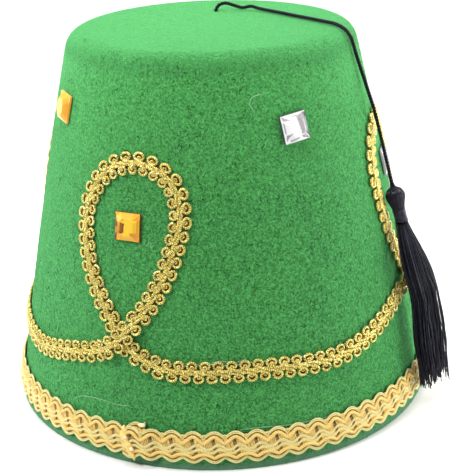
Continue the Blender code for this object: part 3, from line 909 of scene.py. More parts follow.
# Pale cords run in pairs: what they follow, mm above and below it, mm out, radius mm.
PALE_PAIRS = (
    ("edge", 0.44, -0.24, 0.7, 0.3),
    ("wave", 0.3, -0.26, 1.0, 0.28),
    ("ripple", 0.26, -0.26, 1.05, 0.26),
    ("scallop", 0.3, -0.32, 0.65, 0.3),
)
# What a thick cord follows, mm out, radius mm.
ORANGE_CORDS = (("high", 0.95, 0.7), ("low", 0.95, 0.7))
# The gaps are painted nearly black, as shade.
# Gaps in the weave: share of the way up the band, half width in waves, half height as a share.
HOLES = ((0.74, 0.05, 0.06), (0.235, 0.06, 0.04))
# Waves added to the count in the backing's UV map, so that it stays over 0.
WAVES_BEFORE = 10
# The cross threads: one turn of their twist in mm, and where they lie after each trough, as
# shares of a wave.
CROSS_PLY_MM = 0.7
CROSS_THREADS = np.array([0.06, 0.14, 0.22, 0.3, 0.38, 0.64, 0.72, 0.8, 0.88, 0.96])


def make_galloon(context):
    """Wavy woven band: cords that all follow one wave, over cross threads and a backing."""
    settings = context.scene.fez_galloon
    first = BAND_START_AZIMUTH
    azimuth = np.linspace(first, first + 360 + BAND_LAP, (BAND_WAVES + 1) * settings.steps + 1)
    waves = (azimuth - BAND_CREST_AZIMUTH) / BAND_WAVE
    heights = galloon_heights(2 * np.pi * waves)
    normal = wall_normal(azimuth, BAND_MIDDLE)
    make_backing(settings, azimuth, waves, heights)
    make_pale_cords(settings, azimuth, heights, normal)
    make_orange_cords(settings, azimuth, heights, normal)


def make_backing(settings, azimuth, waves, heights):
    """The cloth behind the cords, which bulges outwards by half a sine between its edges."""
    share = np.linspace(0, 1, 7)
    low, high = heights["scallop"][:, None], heights["edge"][:, None]
    out = 0.25 + 0.35 * np.sin(np.pi * share)
    cloth = band_cord(azimuth[:, None], low + (high - low) * share, out)
    counted = (waves + WAVES_BEFORE) * MM
    mesh = grid_mesh("backing", cloth, counted, wrap=False, capped=False)
    place("galloon_backing", mesh, [backing_finish(settings)], "galloon_gold", "base_band")


def make_pale_cords(settings, azimuth, heights, normal):
    """The thin cords, in pairs along the edges and the waves."""
    lines, radii = [], []
    for name, above, below, out, radius in PALE_PAIRS:
        lines += [band_cord(azimuth, heights[name] + shift, out) for shift in (above, below)]
        radii += [[radius * MM]] * 2
    pale = cord_finish(
        "galloon_pale", settings.pale, settings.ply / MM, groove_shade=0.62, roughness=0.3
    )
    mesh = tubes("pale", lines, radii, 6, normal)
    place("galloon_pale_cords", mesh, [pale], "galloon_gold")


def make_orange_cords(settings, azimuth, heights, normal):
    """The thick cords, a bobble over each trough of the edge, and slanting cross threads."""
    random = np.random.default_rng(BAND_SEED)
    lines = [band_cord(azimuth, heights[name], out) for name, out, _ in ORANGE_CORDS]
    radii = [[radius * MM] for _, _, radius in ORANGE_CORDS]
    cords = tubes("orange", lines, radii, 8, normal)
    first = np.ceil((BAND_START_AZIMUTH - BAND_CREST_AZIMUTH) / BAND_WAVE)
    troughs = BAND_CREST_AZIMUTH + (first + 0.5 + np.arange(BAND_WAVES))[:, None] * BAND_WAVE
    bend = np.linspace(-1, 1, 6)
    at, rise = troughs + 0.6 * bend, 1 - bend**2
    bobbles = band_cord(at, 10.35 + 0.85 * rise, 0.5 + 0.3 * rise)
    bobbles = tubes("bobbles", bobbles, 0.42 * MM, 6, wall_normal(at, BAND_MIDDLE))
    threads = (troughs + CROSS_THREADS * BAND_WAVE).reshape(-1, 1)
    threads = threads + random.normal(0, 0.04, threads.shape)
    share = np.linspace(0, 1, 5)
    slant = threads + (share - 0.4) * 1.2
    crossed = band_cord(slant, 9.7 - 6.4 * share, 0.82 + 0.1 * np.sin(np.pi * share))
    crossed = tubes("crossed", crossed, 0.29 * MM, 5, wall_normal(slant, BAND_MIDDLE))
    gold = cord_finish(
        "galloon_orange", settings.gold, settings.ply / MM * 1.6, groove_shade=0.8, roughness=0.38
    )
    dull = cord_finish("galloon_cross", settings.cross, CROSS_PLY_MM, groove_shade=0.8, roughness=0.4)
    mesh = joined("orange", [cords, bobbles, crossed])
    place("galloon_orange_cords", mesh, [gold, gold, dull], "galloon_gold")


# The glue over the band's seam, from its top down: azimuth, height mm, out mm, half width mm.
SEAM_GLUE = (
    (-25.9, 16.4, 3.0, 0.3),
    (-26.0, 15.4, 3.1, 1.2),
    (-25.6, 14.2, 3.1, 1.2),
    (-26.1, 12.8, 3.1, 1.8),
    (-25.6, 11.4, 3.2, 1.9),
    (-25.1, 10.0, 3.2, 1.5),
    (-24.7, 8.8, 3.3, 1.9),
    (-24.2, 7.6, 3.4, 2.1),
    (-24.0, 6.2, 3.3, 1.7),
    (-23.4, 4.8, 3.2, 1.4),
    (-23.1, 3.8, 3.0, 1.0),
    (-23.0, 2.6, 2.8, 0.2),
)
# Beads of it: azimuth, height mm, out mm, half length mm, half width mm.
GLUE_BEADS = (
    (-21.6, 16.9, 1.4, 1.7, 0.95),
    (-23.3, 7.8, 4.6, 0.9, 0.8),
    (-25.2, 11.9, 4.2, 0.9, 0.55),
)
# Fine hairs of glue left on the felt: rows of azimuth and height mm.
GLUE_HAIRS = (
    ((-44.2, 18.8), (-41.7, 21.4), (-38.1, 22.8), (-33.0, 23.2), (-28.3, 23.0), (-25.3, 23.6)),
    ((3.5, 16.4), (9.0, 16.6), (15.0, 16.0), (21.0, 15.6), (27.5, 15.2)),
    ((-34.2, 50.4), (-32.8, 47.6), (-31.0, 46.4), (-29.2, 47.4)),
    ((-29.0, 49.4), (-27.8, 46.2), (-25.6, 45.6), (-23.6, 46.4)),
    ((-35.6, 71.5), (-34.9, 69.0), (-35.2, 66.4), (-34.2, 65.0)),
    ((-21.8, 87.0), (-20.6, 88.6), (-20.2, 86.6), (-19.2, 87.4)),
    ((13.6, 136.0), (12.2, 139.0), (13.4, 141.5), (16.5, 142.2)),
    ((-4.0, 42.8), (-1.0, 44.0), (3.0, 43.2), (6.0, 44.2)),
)


def make_seam(context):
    """Glue over the band's end: a lumpy ridge, beads of it, and hairs drawn out on the felt."""
    settings = context.scene.fez_galloon
    glue = Finish("seam_glue", roughness=0.3, coat_weight=0.2, coat_roughness=0.1)
    lumps = glue.noise(glue.coordinates(), 700.0)
    light = shaded(settings.glue, 1.35)
    glue.feed("Base Color", glue.mix((lumps - 0.3) * 2.5, settings.glue, light))
    glue.bump(lumps, 0.4 * MM)
    rows = smooth_curve(SEAM_GLUE, 4)
    step = np.arange(len(rows))
    swell = 1 + 0.16 * np.sin(1.9 * step) + 0.12 * np.sin(3.1 * step)
    line, normal = wall_line(rows, rows[:, 2] * MM)
    ridge = tubes("ridge", line, rows[:, 3] * swell * 0.8 * MM, 12, normal, 0.6)
    share = np.linspace(-1, 1, 9)
    azimuth, height, out, reach, width = np.array(GLUE_BEADS).T[..., None]
    centre = on_wall(azimuth + 0 * share, height * MM, out * MM)
    centre = centre + (share * reach * MM)[..., None] * wall_tangent(azimuth)
    girth = width * np.sqrt(np.maximum(1 - share**2, 0.01)) * MM
    beads = tubes("beads", centre, girth, 8, wall_normal(azimuth + 0 * share, height * MM), 0.8)
    clear = Finish("glue_bead", base_color=(0.85, 0.72, 0.4), roughness=0.15).material
    place("seam_glue", joined("glue", [ridge, beads]), [glue.material, clear], "galloon_gold")

    meshes = []
    for hair in GLUE_HAIRS:
        line, normal = wall_line(smooth_curve(hair, 6), 0.45 * MM)
        meshes.append(tubes("hair", line, 0.07 * MM, 4, normal))
    hair = Finish("glue_hair", base_color=(0.45, 0.62, 0.48), roughness=0.25).material
    place("glue_hairs", joined("hairs", meshes), [hair] * len(meshes), "gimp_gold")


# ------------------------------------------------------------ gimp braid


def loop_rows(loop):
    """(azimuth, height) from a loop's left tail, up its right side and down its left one."""
    crossing, crossing_mm, top, top_mm, half_width, bulge = loop
    rows = [(share, height) for share, height, _ in LOOP_HALF]
    rows += [(0.0, 1.0)]
    rows += [(-share - bulge * bulged, height) for share, height, bulged in reversed(LOOP_HALF)]
    rise = (top_mm - crossing_mm) * MM
    return [
        (
            crossing + (top - crossing) * max(height, 0.0) + share * half_width,
            crossing_mm * MM + height * rise,
        )
        for share, height in rows
    ]


def gimp_route():
    """The braid's (azimuth, height) points once round, and the row of each pass on top."""
    loops = list(GIMP_LOOPS.values())
    left = loops[3]
    ordered = [(left[0] - 360, left[1], left[2] - 360, *left[3:]), *loops[:3]]
    start = GIMP_SEAM_AZIMUTH - 360
    rows = [(start, GIMP_SEAM_HEIGHT), (start + GIMP_SEAM_LEVEL, GIMP_SEAM_HEIGHT)]
    over = []
    for index, loop in enumerate(ordered):
        over.append(len(rows) + CROSSING_ROW)
        rows += loop_rows(loop)
        if index < len(ordered) - 1:
            near, far = rows[-1][0], loop_rows(ordered[index + 1])[0][0]
            rows += [
                (near + (far - near) * share, low * MM)
                for share, low in zip(SWAG_SHARES, SWAG_LOWS[index])
            ]
    for short in (GIMP_SEAM_LEVEL, GIMP_SEAM_GAP):
        rows.append((start + 360 - short, GIMP_SEAM_HEIGHT))
    return rows, over


def gimp_centre():
    """Distance along the braid, and its azimuth, height, lift and run there.

    The braid follows a smooth curve through its route, and at each crossing the upper pass
    lifts by a smooth step over the lower one.
    """
    per_span = 24
    rows, over = gimp_route()
    fine = smooth_curve(rows, per_span)
    along = lengths_along(on_wall(fine[:, 0], fine[:, 1]))
    lift = 0 * along
    for row in over:
        away = np.abs(along - along[row * per_span])
        lift += (GIMP_THICK + GIMP_OVER_GAP) * ease((GIMP_OVER_REACH - away) / GIMP_OVER_RAMP)
    run = np.gradient(fine, axis=0)
    sideways = np.radians(run[:, 0]) * wall_radius(fine[:, 1])
    upwards = run[:, 1] * np.sqrt(1 + wall_slope(fine[:, 1]) ** 2)
    heading = unit(np.stack([sideways, upwards], axis=-1))
    return along, fine[:, 0], fine[:, 1], lift, heading


def on_braid(centre, at, across, out):
    """Points of the braid: a distance along it, one across it and one out from the wall."""
    along, *lines = centre
    azimuth, height, lift, heading = columns_at(at, along, *lines)
    height = height + across * heading[..., 0] / np.sqrt(1 + wall_slope(height) ** 2)
    azimuth = azimuth - np.degrees(across * heading[..., 1] / wall_radius(height))
    return on_wall(azimuth, height, lift + out), wall_normal(azimuth, height)


# One pass of an outer and of an inner gimp cord over a scroll: along, across and out, in mm.
# The passes lie that far off the felt where they say 0 out.
SCROLL_OUT = 0.95 * MM
# The inner cord's radius as a share of the outer one's.
INNER_SHARE = 0.82
OUTER_SCROLL = (
    (-3.68, 0.0, -0.35),
    (-1.7, 0.5, -0.35),
    (-0.3, 0.85, -0.3),
    (1.1, 1.45, -0.1),
    (1.75, 2.5, 0.0),
    (1.22, 3.55, 0.0),
    (0.0, 4.0, 0.0),
    (-1.22, 3.55, 0.0),
    (-1.75, 2.5, 0.0),
    (-1.1, 1.45, 0.1),
    (0.3, 0.85, 0.3),
    (1.7, 0.5, 0.35),
)
INNER_SCROLL = (
    (-3.68, -0.35, -0.1),
    (-1.6, 0.6, 0.0),
    (-0.5, 1.2, 0.1),
    (0.45, 1.6, 0.2),
    (0.65, 2.15, 0.3),
    (0.2, 2.5, 0.35),
    (-0.35, 2.3, 0.35),
    (-0.5, 1.8, 0.4),
    (-0.1, 1.45, 0.5),
    (0.7, 1.1, 0.45),
    (1.7, 0.2, 0.3),
)


def scroll_places(centre, settings):
    """Where each of three cords scrolls, in pitches, and on which edge, and the pitch's length.

    Cord c scrolls at c + 1.5 n + 0.5, on one edge for even n and on the other for odd n.
    """
    count = int(centre[0][-1] / settings.pitch)
    step = np.arange(-1, count)
    cords = []
    for start in range(3):
        places = start + step * 1.5 + 0.5
        kept = (places > 0.4) & (places < count - 0.4)
        cords.append((places[kept], (1 - 2 * (step % 2))[kept]))
    return cords, centre[0][-1] / count


def scroll_strands(centre, settings, shape, per_span):
    """Three cords that each scroll at every third place on one edge and then the other.

    A cord's path is the same pass laid end to end, turned over for every other scroll.
    """
    shape = np.array(shape) * MM
    lines, normals = [], []
    cords, pitch = scroll_places(centre, settings)
    for places, edges in cords:
        rows = np.broadcast_to(shape, (len(places), *shape.shape)).copy()
        rows[..., 0] *= pitch / settings.pitch
        rows[..., 0] += (places * pitch)[:, None]
        rows[..., 1:] *= edges[:, None, None]
        fine = smooth_curve(rows.reshape(-1, 3), per_span)
        line, normal = on_braid(centre, fine[:, 0], fine[:, 1], SCROLL_OUT + fine[:, 2])
        lines.append(line)
        normals.append(normal)
    return lines, normals


# The plait: how far its strands swing, how far off the felt, their rise and their radius.
PLAIT_WIDTH = 0.85 * MM
PLAIT_OUT = 1.3 * MM
PLAIT_LIFT = 0.36 * MM
PLAIT_RADIUS = 0.36 * MM


def gimp_plait(centre, settings):
    """Three strands plaited along the middle: a sin t across, b sin 2t out, a third apart."""
    at = np.arange(0, centre[0][-1], 0.6 * MM)
    meshes = []
    for strand in range(3):
        t = 2 * np.pi * (at / settings.pitch + strand / 3)
        out = PLAIT_OUT + PLAIT_LIFT * np.sin(2 * t)
        line, normal = on_braid(centre, at, PLAIT_WIDTH * np.sin(t), out)
        meshes.append(tubes("plait", line, PLAIT_RADIUS, 5, normal))
    return joined("plait", meshes)


BUTTON_ACROSS = 2.3 * MM
# Radius and distance from the wall of a button's foot and of its top.
BUTTON_RADIUS = np.array([[1.5], [1.3]]) * MM
BUTTON_OUT = np.array([[0.15], [0.5]]) * MM
# The strip's profile: across the braid, and distance from the wall.
STRIP_ACROSS = np.array([-1.5, -1.1, 1.1, 1.5]) * MM
STRIP_OUT = np.array([0.15, 0.6, 0.6, 0.15]) * MM


def gimp_ground(centre, settings):
    """Dark core threads: a low eight-sided button behind each scroll and a strip between them."""
    cords, pitch = scroll_places(centre, settings)
    at = np.concatenate([places * pitch for places, _ in cords])[:, None, None]
    edge = np.concatenate([edges for _, edges in cords])[:, None, None]
    turn = full_turn(8)
    along = at + BUTTON_RADIUS * np.cos(turn)
    across = edge * BUTTON_ACROSS + BUTTON_RADIUS * np.sin(turn)
    grid, _ = on_braid(centre, along, across, BUTTON_OUT)
    buttons = grid_mesh("buttons", grid, np.zeros(grid.shape[:2]))
    at = np.arange(0, centre[0][-1], 2 * MM)
    strip, _ = on_braid(centre, at[:, None], STRIP_ACROSS, STRIP_OUT)
    strip = grid_mesh("strip", strip, at, wrap=False, capped=False)
    return joined("ground", [buttons, strip])


def make_gimp(context):
    """Gimp cords run as scrolls along both edges, each round an inner curl, plaited between.

    A nylon thread wavers along one side by a sine.
    """
    settings = context.scene.fez_gimp
    gold = gimp_finish(settings)
    centre = gimp_centre()
    for name, shape, radius, sides, node in (
        ("gimp_scrolls", OUTER_SCROLL, settings.cord, 6, ["gimp_braid"]),
        ("gimp_curls", INNER_SCROLL, settings.cord * INNER_SHARE, 5, []),
    ):
        lines, normals = scroll_strands(centre, settings, shape, 2)
        meshes = [
            tubes(name, line, radius, sides, normal) for line, normal in zip(lines, normals)
        ]
        place(name, joined(name, meshes), [gold] * len(meshes), "gimp_gold", *node)
    place("gimp_plait", gimp_plait(centre, settings), [gold] * 3, "gimp_gold")
    ground = Finish("gimp_ground", base_color=settings.ground, roughness=0.8).material
    place("gimp_ground", gimp_ground(centre, settings), [ground] * 2, "gimp_gold")
    at = np.arange(0, centre[0][-1], 1.0 * MM)
    across = 2.9 * MM + 0.4 * MM * np.sin(at * 900)
    line, normal = on_braid(centre, at, across, 0.55 * MM)
    nylon = Finish("nylon", base_color=(0.55, 0.62, 0.55), roughness=0.25)
    place("gimp_nylon", tubes("nylon", line, 0.13 * MM, 4, normal), [nylon.material], "gimp_gold")


# ------------------------------------------------------------ stones


# Painted reflections and shade of each part of a stone, 0 deep and 1 bright, then the corners
# of the part as shares across from the left and down from the top.
STONE_PARTS = {
    "amber": (
        (0.84, (0, 0), (1, 0), (1, 1), (0, 1)),
        (0.72, (0, 0), (1, 0), (0.82, 0.14), (0.36, 0.2), (0.1, 0.08)),
        (0.78, (0.03, 0.03), (0.22, 0.03), (0.36, 0.16), (0.34, 0.34), (0.15, 0.34)),
        (0.26, (0.28, 0.2), (0.36, 0.22), (0.36, 0.28), (0.31, 0.26)),
        (0.1, (0, 0), (0.05, 0.18), (0.13, 0.4), (0.12, 0.75), (0.08, 1), (0, 1)),
        (0.32, (0.02, 0.52), (0.1, 0.5), (0.1, 0.7), (0.02, 0.76)),
        (0.0, (0.02, 0.4), (0.13, 0.38), (0.12, 0.48), (0.02, 0.5)),
        (0.0, (0.03, 0.82), (0.1, 0.8), (0.08, 0.93), (0.03, 0.93)),
        (0.3, (0.07, 0.2), (0.16, 0.34), (0.21, 0.75), (0.12, 0.78), (0.15, 0.42)),
        (0.04, (0.2, 0.35), (0.385, 0.36), (0.375, 0.68), (0.27, 0.74), (0.21, 0.72)),
        (0.16, (0.25, 0.37), (0.28, 0.37), (0.28, 0.7), (0.26, 0.72)),
        (0.6, (0.1, 0.76), (0.2, 0.75), (0.37, 0.8), (0.22, 0.93), (0.07, 0.97)),
        (0.72, (0.03, 1), (0.3, 0.86), (0.66, 0.86), (0.84, 0.98), (0.9, 1)),
        (0.5, (1, 0.03), (0.68, 0.24), (0.87, 0.24), (0.96, 0.3)),
        (0.5, (0.875, 0.2), (0.94, 0.15), (0.94, 0.75), (0.88, 0.66)),
        (0.66, (0.94, 0.08), (1, 0.02), (1, 0.97), (0.95, 0.8)),
        (0.52, (0.57, 0.68), (0.88, 0.68), (0.95, 0.76), (1, 1), (0.84, 0.96)),
        (0.42, (0.58, 0.69), (0.74, 0.72), (0.74, 0.82), (0.66, 0.79)),
    ),
    "amber_side": (
        (0.78, (0, 0), (1, 0), (1, 1), (0, 1)),
        (0.7, (0, 0), (0.27, 0.27), (0.27, 0.72), (0, 1)),
        (0.68, (0, 0), (1, 0), (0.78, 0.24), (0.25, 0.26)),
        (0.6, (1, 0), (1, 1), (0.7, 0.78), (0.55, 0.25)),
        (0.5, (0.84, 0.2), (0.9, 0.16), (0.9, 0.85), (0.85, 0.8)),
        (0.64, (0.25, 0.78), (0.7, 0.72), (1, 1), (0.6, 0.95)),
        (0.95, (0, 1), (0.2, 0.78), (0.5, 0.8), (0.86, 1)),
    ),
    "clear_side": (
        (0.7, (0, 0), (1, 0), (1, 1), (0, 1)),
        (1.0, (0, 0), (0.5, 0), (0.4, 0.12), (0, 0.14)),
        (1.0, (0, 1), (0.5, 1), (0.4, 0.9), (0, 0.88)),
    ),
    "clear": (
        (1.0, (0, 0), (1, 0), (1, 1), (0, 1)),
        (0.68, (0.05, 0.04), (0.38, 0.2), (0.1, 0.2)),
        (0.66, (0.07, 0.23), (0.12, 0.24), (0.12, 0.63), (0.07, 0.62)),
        (0.7, (0.33, 0.06), (0.68, 0.08), (0.55, 0.13)),
        (0.45, (0.86, 0.06), (0.97, 0.06), (0.98, 0.9), (0.9, 0.8)),
        (0.66, (0.6, 0.1), (0.9, 0.06), (0.9, 0.8), (0.72, 0.76), (0.66, 0.3)),
        (0.6, (0.7, 0.13), (0.93, 0.08), (0.91, 0.28), (0.72, 0.28)),
        (0.1, (0.97, 0.06), (1, 0.06), (1, 0.88), (0.93, 0.84), (0.91, 0.3)),
        (0.4, (0.7, 0.8), (0.87, 0.8), (0.96, 0.96), (0.74, 0.9)),
        (0.75, (0.8, 0.83), (0.86, 0.84), (0.87, 0.89), (0.81, 0.87)),
        (0.6, (0.1, 0.68), (0.38, 0.66), (0.22, 0.74), (0.08, 0.9)),
        (0.65, (0.22, 0.88), (0.52, 0.83), (0.64, 0.88), (0.44, 0.94), (0.2, 0.94)),
    ),
}


# Painted parts of the stones that are seen from the side, and the painted shine of their edges.
STONES_FROM_THE_SIDE = {
    "stone_high_left": ("amber_side", 0.62),
    "stone_loop_right": ("clear_side", 0.7),
}


def inside(u, v, corners):
    """Which points lie inside a polygon: those that an odd number of its edges pass."""
    held = np.zeros(u.shape, bool)
    ends = [*corners[1:], corners[0]]
    for (u0, v0), (u1, v1) in zip(corners, ends):
        if v0 != v1:
            passed = (v0 > v) != (v1 > v)
            held ^= passed & (u < u0 + (v - v0) * (u1 - u0) / (v1 - v0))
    return held


def stone_grid(steps):
    """Points of a cut stone, with their shares across and down.

    The height is the least of the table, four facets that rise from the sides and four that
    cut the table's corners; the outermost points drop to the felt as the girdle.
    """
    share = np.concatenate([[0], np.linspace(0, 1, steps), [1]])
    v, u = np.meshgrid(share, share, indexing="ij")
    x, y = (u - 0.5) * STONE_SIDE, (0.5 - v) * STONE_SIDE
    inner = STONE_SIDE / 2 * STONE_TABLE_SHARE
    slope = (STONE_HEIGHT - STONE_GIRDLE) / (STONE_SIDE / 2 - inner)
    reach = np.maximum(np.abs(x), np.abs(y))
    corner = np.abs(x) + np.abs(y) - (2 * inner - STONE_TABLE_CUT)
    cut = STONE_HEIGHT - corner * slope * 0.62
    z = np.minimum(STONE_GIRDLE + (STONE_SIDE / 2 - reach) * slope, cut)
    z = np.clip(z, STONE_GIRDLE, STONE_HEIGHT)
    outermost = np.zeros(z.shape, bool)
    outermost[[0, -1]] = True
    outermost[:, [0, -1]] = True
    return np.stack([x, y, np.where(outermost, 0, z)], axis=-1), u, v


def stone_finish(name, deep, middle, bright):
    """Cut acrylic: a ramp of colours for the painted shine of its parts, and a faint painted glow.
    """
    finish = Finish(name, specular=0.3, roughness=0.4, emission_strength=0.05)
    stops = [(0.0, deep), (0.5, middle), (0.88, bright), (1.0, (0.8, 0.72, 0.4))]
    if name == "stone_clear":
        stops = [(0.0, deep), (0.6, middle), (1.0, bright)]
    tone = finish.ramp(finish.tone(), stops)
    finish.feed("Base Color", tone)
    # The emission is a faint painted glow in the same colours.
    finish.feed("Emission Color", tone)
    return finish.material


def make_stones(context):
    """Square stones: a grid raised into facets, with painted reflections and shade on each part.

    The paint follows the line of sight from the front: it shifts with the grid's height.
    """
    settings = context.scene.fez_stones
    local, u, v = stone_grid(49)
    rise = np.maximum(local[..., 2] - STONE_GIRDLE, 0)
    finishes = {
        kind: stone_finish(
            f"stone_{kind}", *(getattr(settings, kind + part) for part in ("_deep", "", "_bright"))
        )
        for kind in ("amber", "clear")
    }
    for name, (azimuth, height_mm, turn, kind) in STONES.items():
        parts, edge = STONES_FROM_THE_SIDE.get(name, (kind, 0.0))
        tones = np.ones(u.shape)
        seen = u + rise * math.sin(math.radians(azimuth)) / STONE_SIDE
        for shade, *corners in STONE_PARTS[parts]:
            tones[inside(0.001 + 0.998 * seen, 0.001 + 0.998 * v, corners)] = shade
        # The outermost rings take the painted shine of the edges.
        tones[[0, 1, -2, -1]] = tones[:, [0, 1, -2, -1]] = edge
        centre = on_wall(azimuth, height_mm * MM, GAP)
        normal = wall_normal(azimuth, height_mm * MM)
        right = wall_tangent(azimuth)
        turned = math.radians(turn)
        across = math.cos(turned) * right + math.sin(turned) * np.cross(normal, right)
        grid = centre + local @ np.stack([across, np.cross(normal, across), normal])
        mesh = grid_mesh(
            name, grid, lengths_along(grid[:, 0]), wrap=False, capped=False, tones=tones
        )
        place(f"cut_{name}", mesh, [finishes[kind]], f"stone_{kind}", name)


# ------------------------------------------------------------ cord


def make_cord(context):
    """Two plies wound round the cord's route: each is a helix close to its middle."""
    settings = context.scene.fez_tassel
    black = cord_finish(
        "cord_black", settings.thread, CORD_PLY_MM, groove_shade=0.5, specular=0.2, roughness=0.6
    )
    line = np.concatenate([smooth_curve(CORD_ROUTE, 24) * MM, inner_tail()])
    along = lengths_along(line)
    at = np.linspace(0, along[-1], int(along[-1] / (0.28 * MM)))
    (route,) = columns_at(at, along, line)
    reference = np.array([0.68, 0.72, 0.0])
    run = unit(np.gradient(route, axis=0))
    side = unit(np.cross(run, reference))
    up = np.cross(side, run)
    plies = []
    for start in (0.0, np.pi):
        turn = (2 * np.pi * at / PLY_TURN + start)[:, None]
        plies.append(route + PLY_OFF * (np.cos(turn) * side + np.sin(turn) * up))
    mesh = tubes("cord", plies, PLY_RADIUS, 8, reference)
    cord = place("twisted_cord", mesh, [black], "thread_black", "tassel_cord")
    return cord, route


def inner_tail():
    """The cord's last stretch, hidden in the tassel's head, binding and skirt."""
    end = np.array(CORD_ROUTE[-1]) * MM
    centre = skirt_lines()[0]
    way = end + (centre[0] - end) * np.linspace(0.05, 0.95, 8)[:, None]
    return np.concatenate([way, centre[: int(len(centre) * 0.4)]])


def skirt_lines():
    """Centre, sideways and outward lines down the skirt, with its half width and depth."""
    rows = smooth_curve((*SKIRT_ROWS, SKIRT_TIPS), 8)
    azimuth, height, off, width, depth = rows[:, 0], *(rows[:, 1:] * MM).T
    centre = on_wall(azimuth, height, off)
    run = unit(np.gradient(centre, axis=0))
    sideways = unit(np.cross(run, wall_normal(azimuth, height)))
    return centre, sideways, np.cross(sideways, run), width, depth


# ------------------------------------------------------------ tassel


def tassel_finish(name, settings, stripes):
    """Glossy black thread with painted sheen: in stripes across the UV map's v, or where its tone
    says.

    The striped head also has painted glints in specks on its shoulder, where u is about 4.1 mm.
    """
    finish = Finish(name, specular=0.22, roughness=0.4)
    u, v, _ = finish.split(finish.coordinates("UV"))
    grain = finish.noise(finish.coordinates(), 900.0)
    if stripes:
        rib = ((v + u * 0.004) * stripes).sine()
        lit = (rib * 0.3 + grain - 0.35).clamped() * 0.7
        finish.bump(rib + grain, 0.12 * MM)
    else:
        lit = finish.tone() * ((grain - 0.3) * 2.0).clamped()
        finish.bump((u * 1.4 + v).sine(), 0.05 * MM, 0.6)
    body = finish.mix(lit, settings.thread, settings.sheen)
    if stripes:
        # Painted glints in specks on the head's shoulder.
        shoulder = (1.2 - (u - 4.1).size() * 1.6).clamped() * ((grain - 0.46) * 9.0).clamped()
        body = finish.mix(shoulder * 0.9, body, settings.glint)
    finish.feed("Base Color", body)
    return finish.material


def head_axes():
    """Where the tassel's head starts, and its three axes: two sideways and one downwards."""
    top = np.array(CORD_ROUTE[-1]) * MM
    azimuth, height, off = SKIRT_ROWS[0][:3]
    down = unit(on_wall(azimuth, height * MM, off * MM) - top)
    side = unit(np.cross(down, wall_normal(azimuth, height * MM)))
    return top, side, np.cross(down, side), down


def skirt_place(angle, share, down_share, width, depth):
    """Sideways and outward offsets in the skirt, which leans left and is flatter outwards."""
    x = share * np.cos(angle) * width * 0.95 - (0.6 + 2.2 * np.sin(np.pi * down_share)) * MM
    y = share * np.sin(angle) * depth
    return x, np.where(y > 0, 0.88 * y, 1.05 * y)


def make_tassel(context):
    """The tassel: its head, binding, skirt and core."""
    settings = context.scene.fez_tassel
    random = np.random.default_rng(TASSEL_SEED)
    head = make_head(settings)
    black = tassel_finish("tassel_thread", settings, 0)
    binding = make_binding(random, black)
    skirt = make_skirt(settings, random, black)
    return [head, binding, skirt, make_core(settings)]


def make_head(settings):
    """Gathered thread: a profile turned round the head's axis, ribbed by two cosines."""
    top, side, out, down = head_axes()
    profile = smooth_curve(HEAD_PROFILE, 5) * MM
    turn = full_turn(120)
    ridge = 0.95 + 0.03 * np.cos(30 * turn) + 0.02 * np.cos(17 * turn + 1)
    ring = np.cos(turn)[:, None] * side + np.sin(turn)[:, None] * out
    radius = profile[:, 1][:, None] * ridge
    grid = top + profile[:, 0][:, None, None] * down + radius[..., None] * ring
    painted_sheen_thread = tassel_finish("tassel_head_thread", settings, 60)
    mesh = grid_mesh("head", grid, lengths_along(profile))
    return place("tassel_top", mesh, [painted_sheen_thread], "thread_black", "tassel_head")


def make_binding(random, black):
    """Thread wound round the neck: a helix on a waist that narrows by half a sine."""
    top, side, out, down = head_axes()
    neck = float(np.linalg.norm(skirt_lines()[0][0] - top))
    share = np.linspace(0, 1, BINDING_TURNS * BINDING_STEPS)
    wound = 2 * np.pi * BINDING_TURNS * share
    waist = (BINDING_RADIUS - 0.25 * MM) * (1 - 0.06 * np.sin(np.pi * share))
    line = top + (HEAD_LENGTH + (neck - HEAD_LENGTH) * share)[:, None] * down
    coil = np.cos(wound)[:, None] * side + np.sin(wound)[:, None] * out
    # Each turn gets its own strength of painted sheen.
    tones = np.repeat(0.35 + 0.5 * random.random((1, BINDING_TURNS)), BINDING_STEPS, axis=1)
    mesh = tubes("binding", line + waist[:, None] * coil, 0.28 * MM, 6, down, tones=tones)
    return place("tassel_binding_thread", mesh, [black], "thread_black", "tassel_binding")


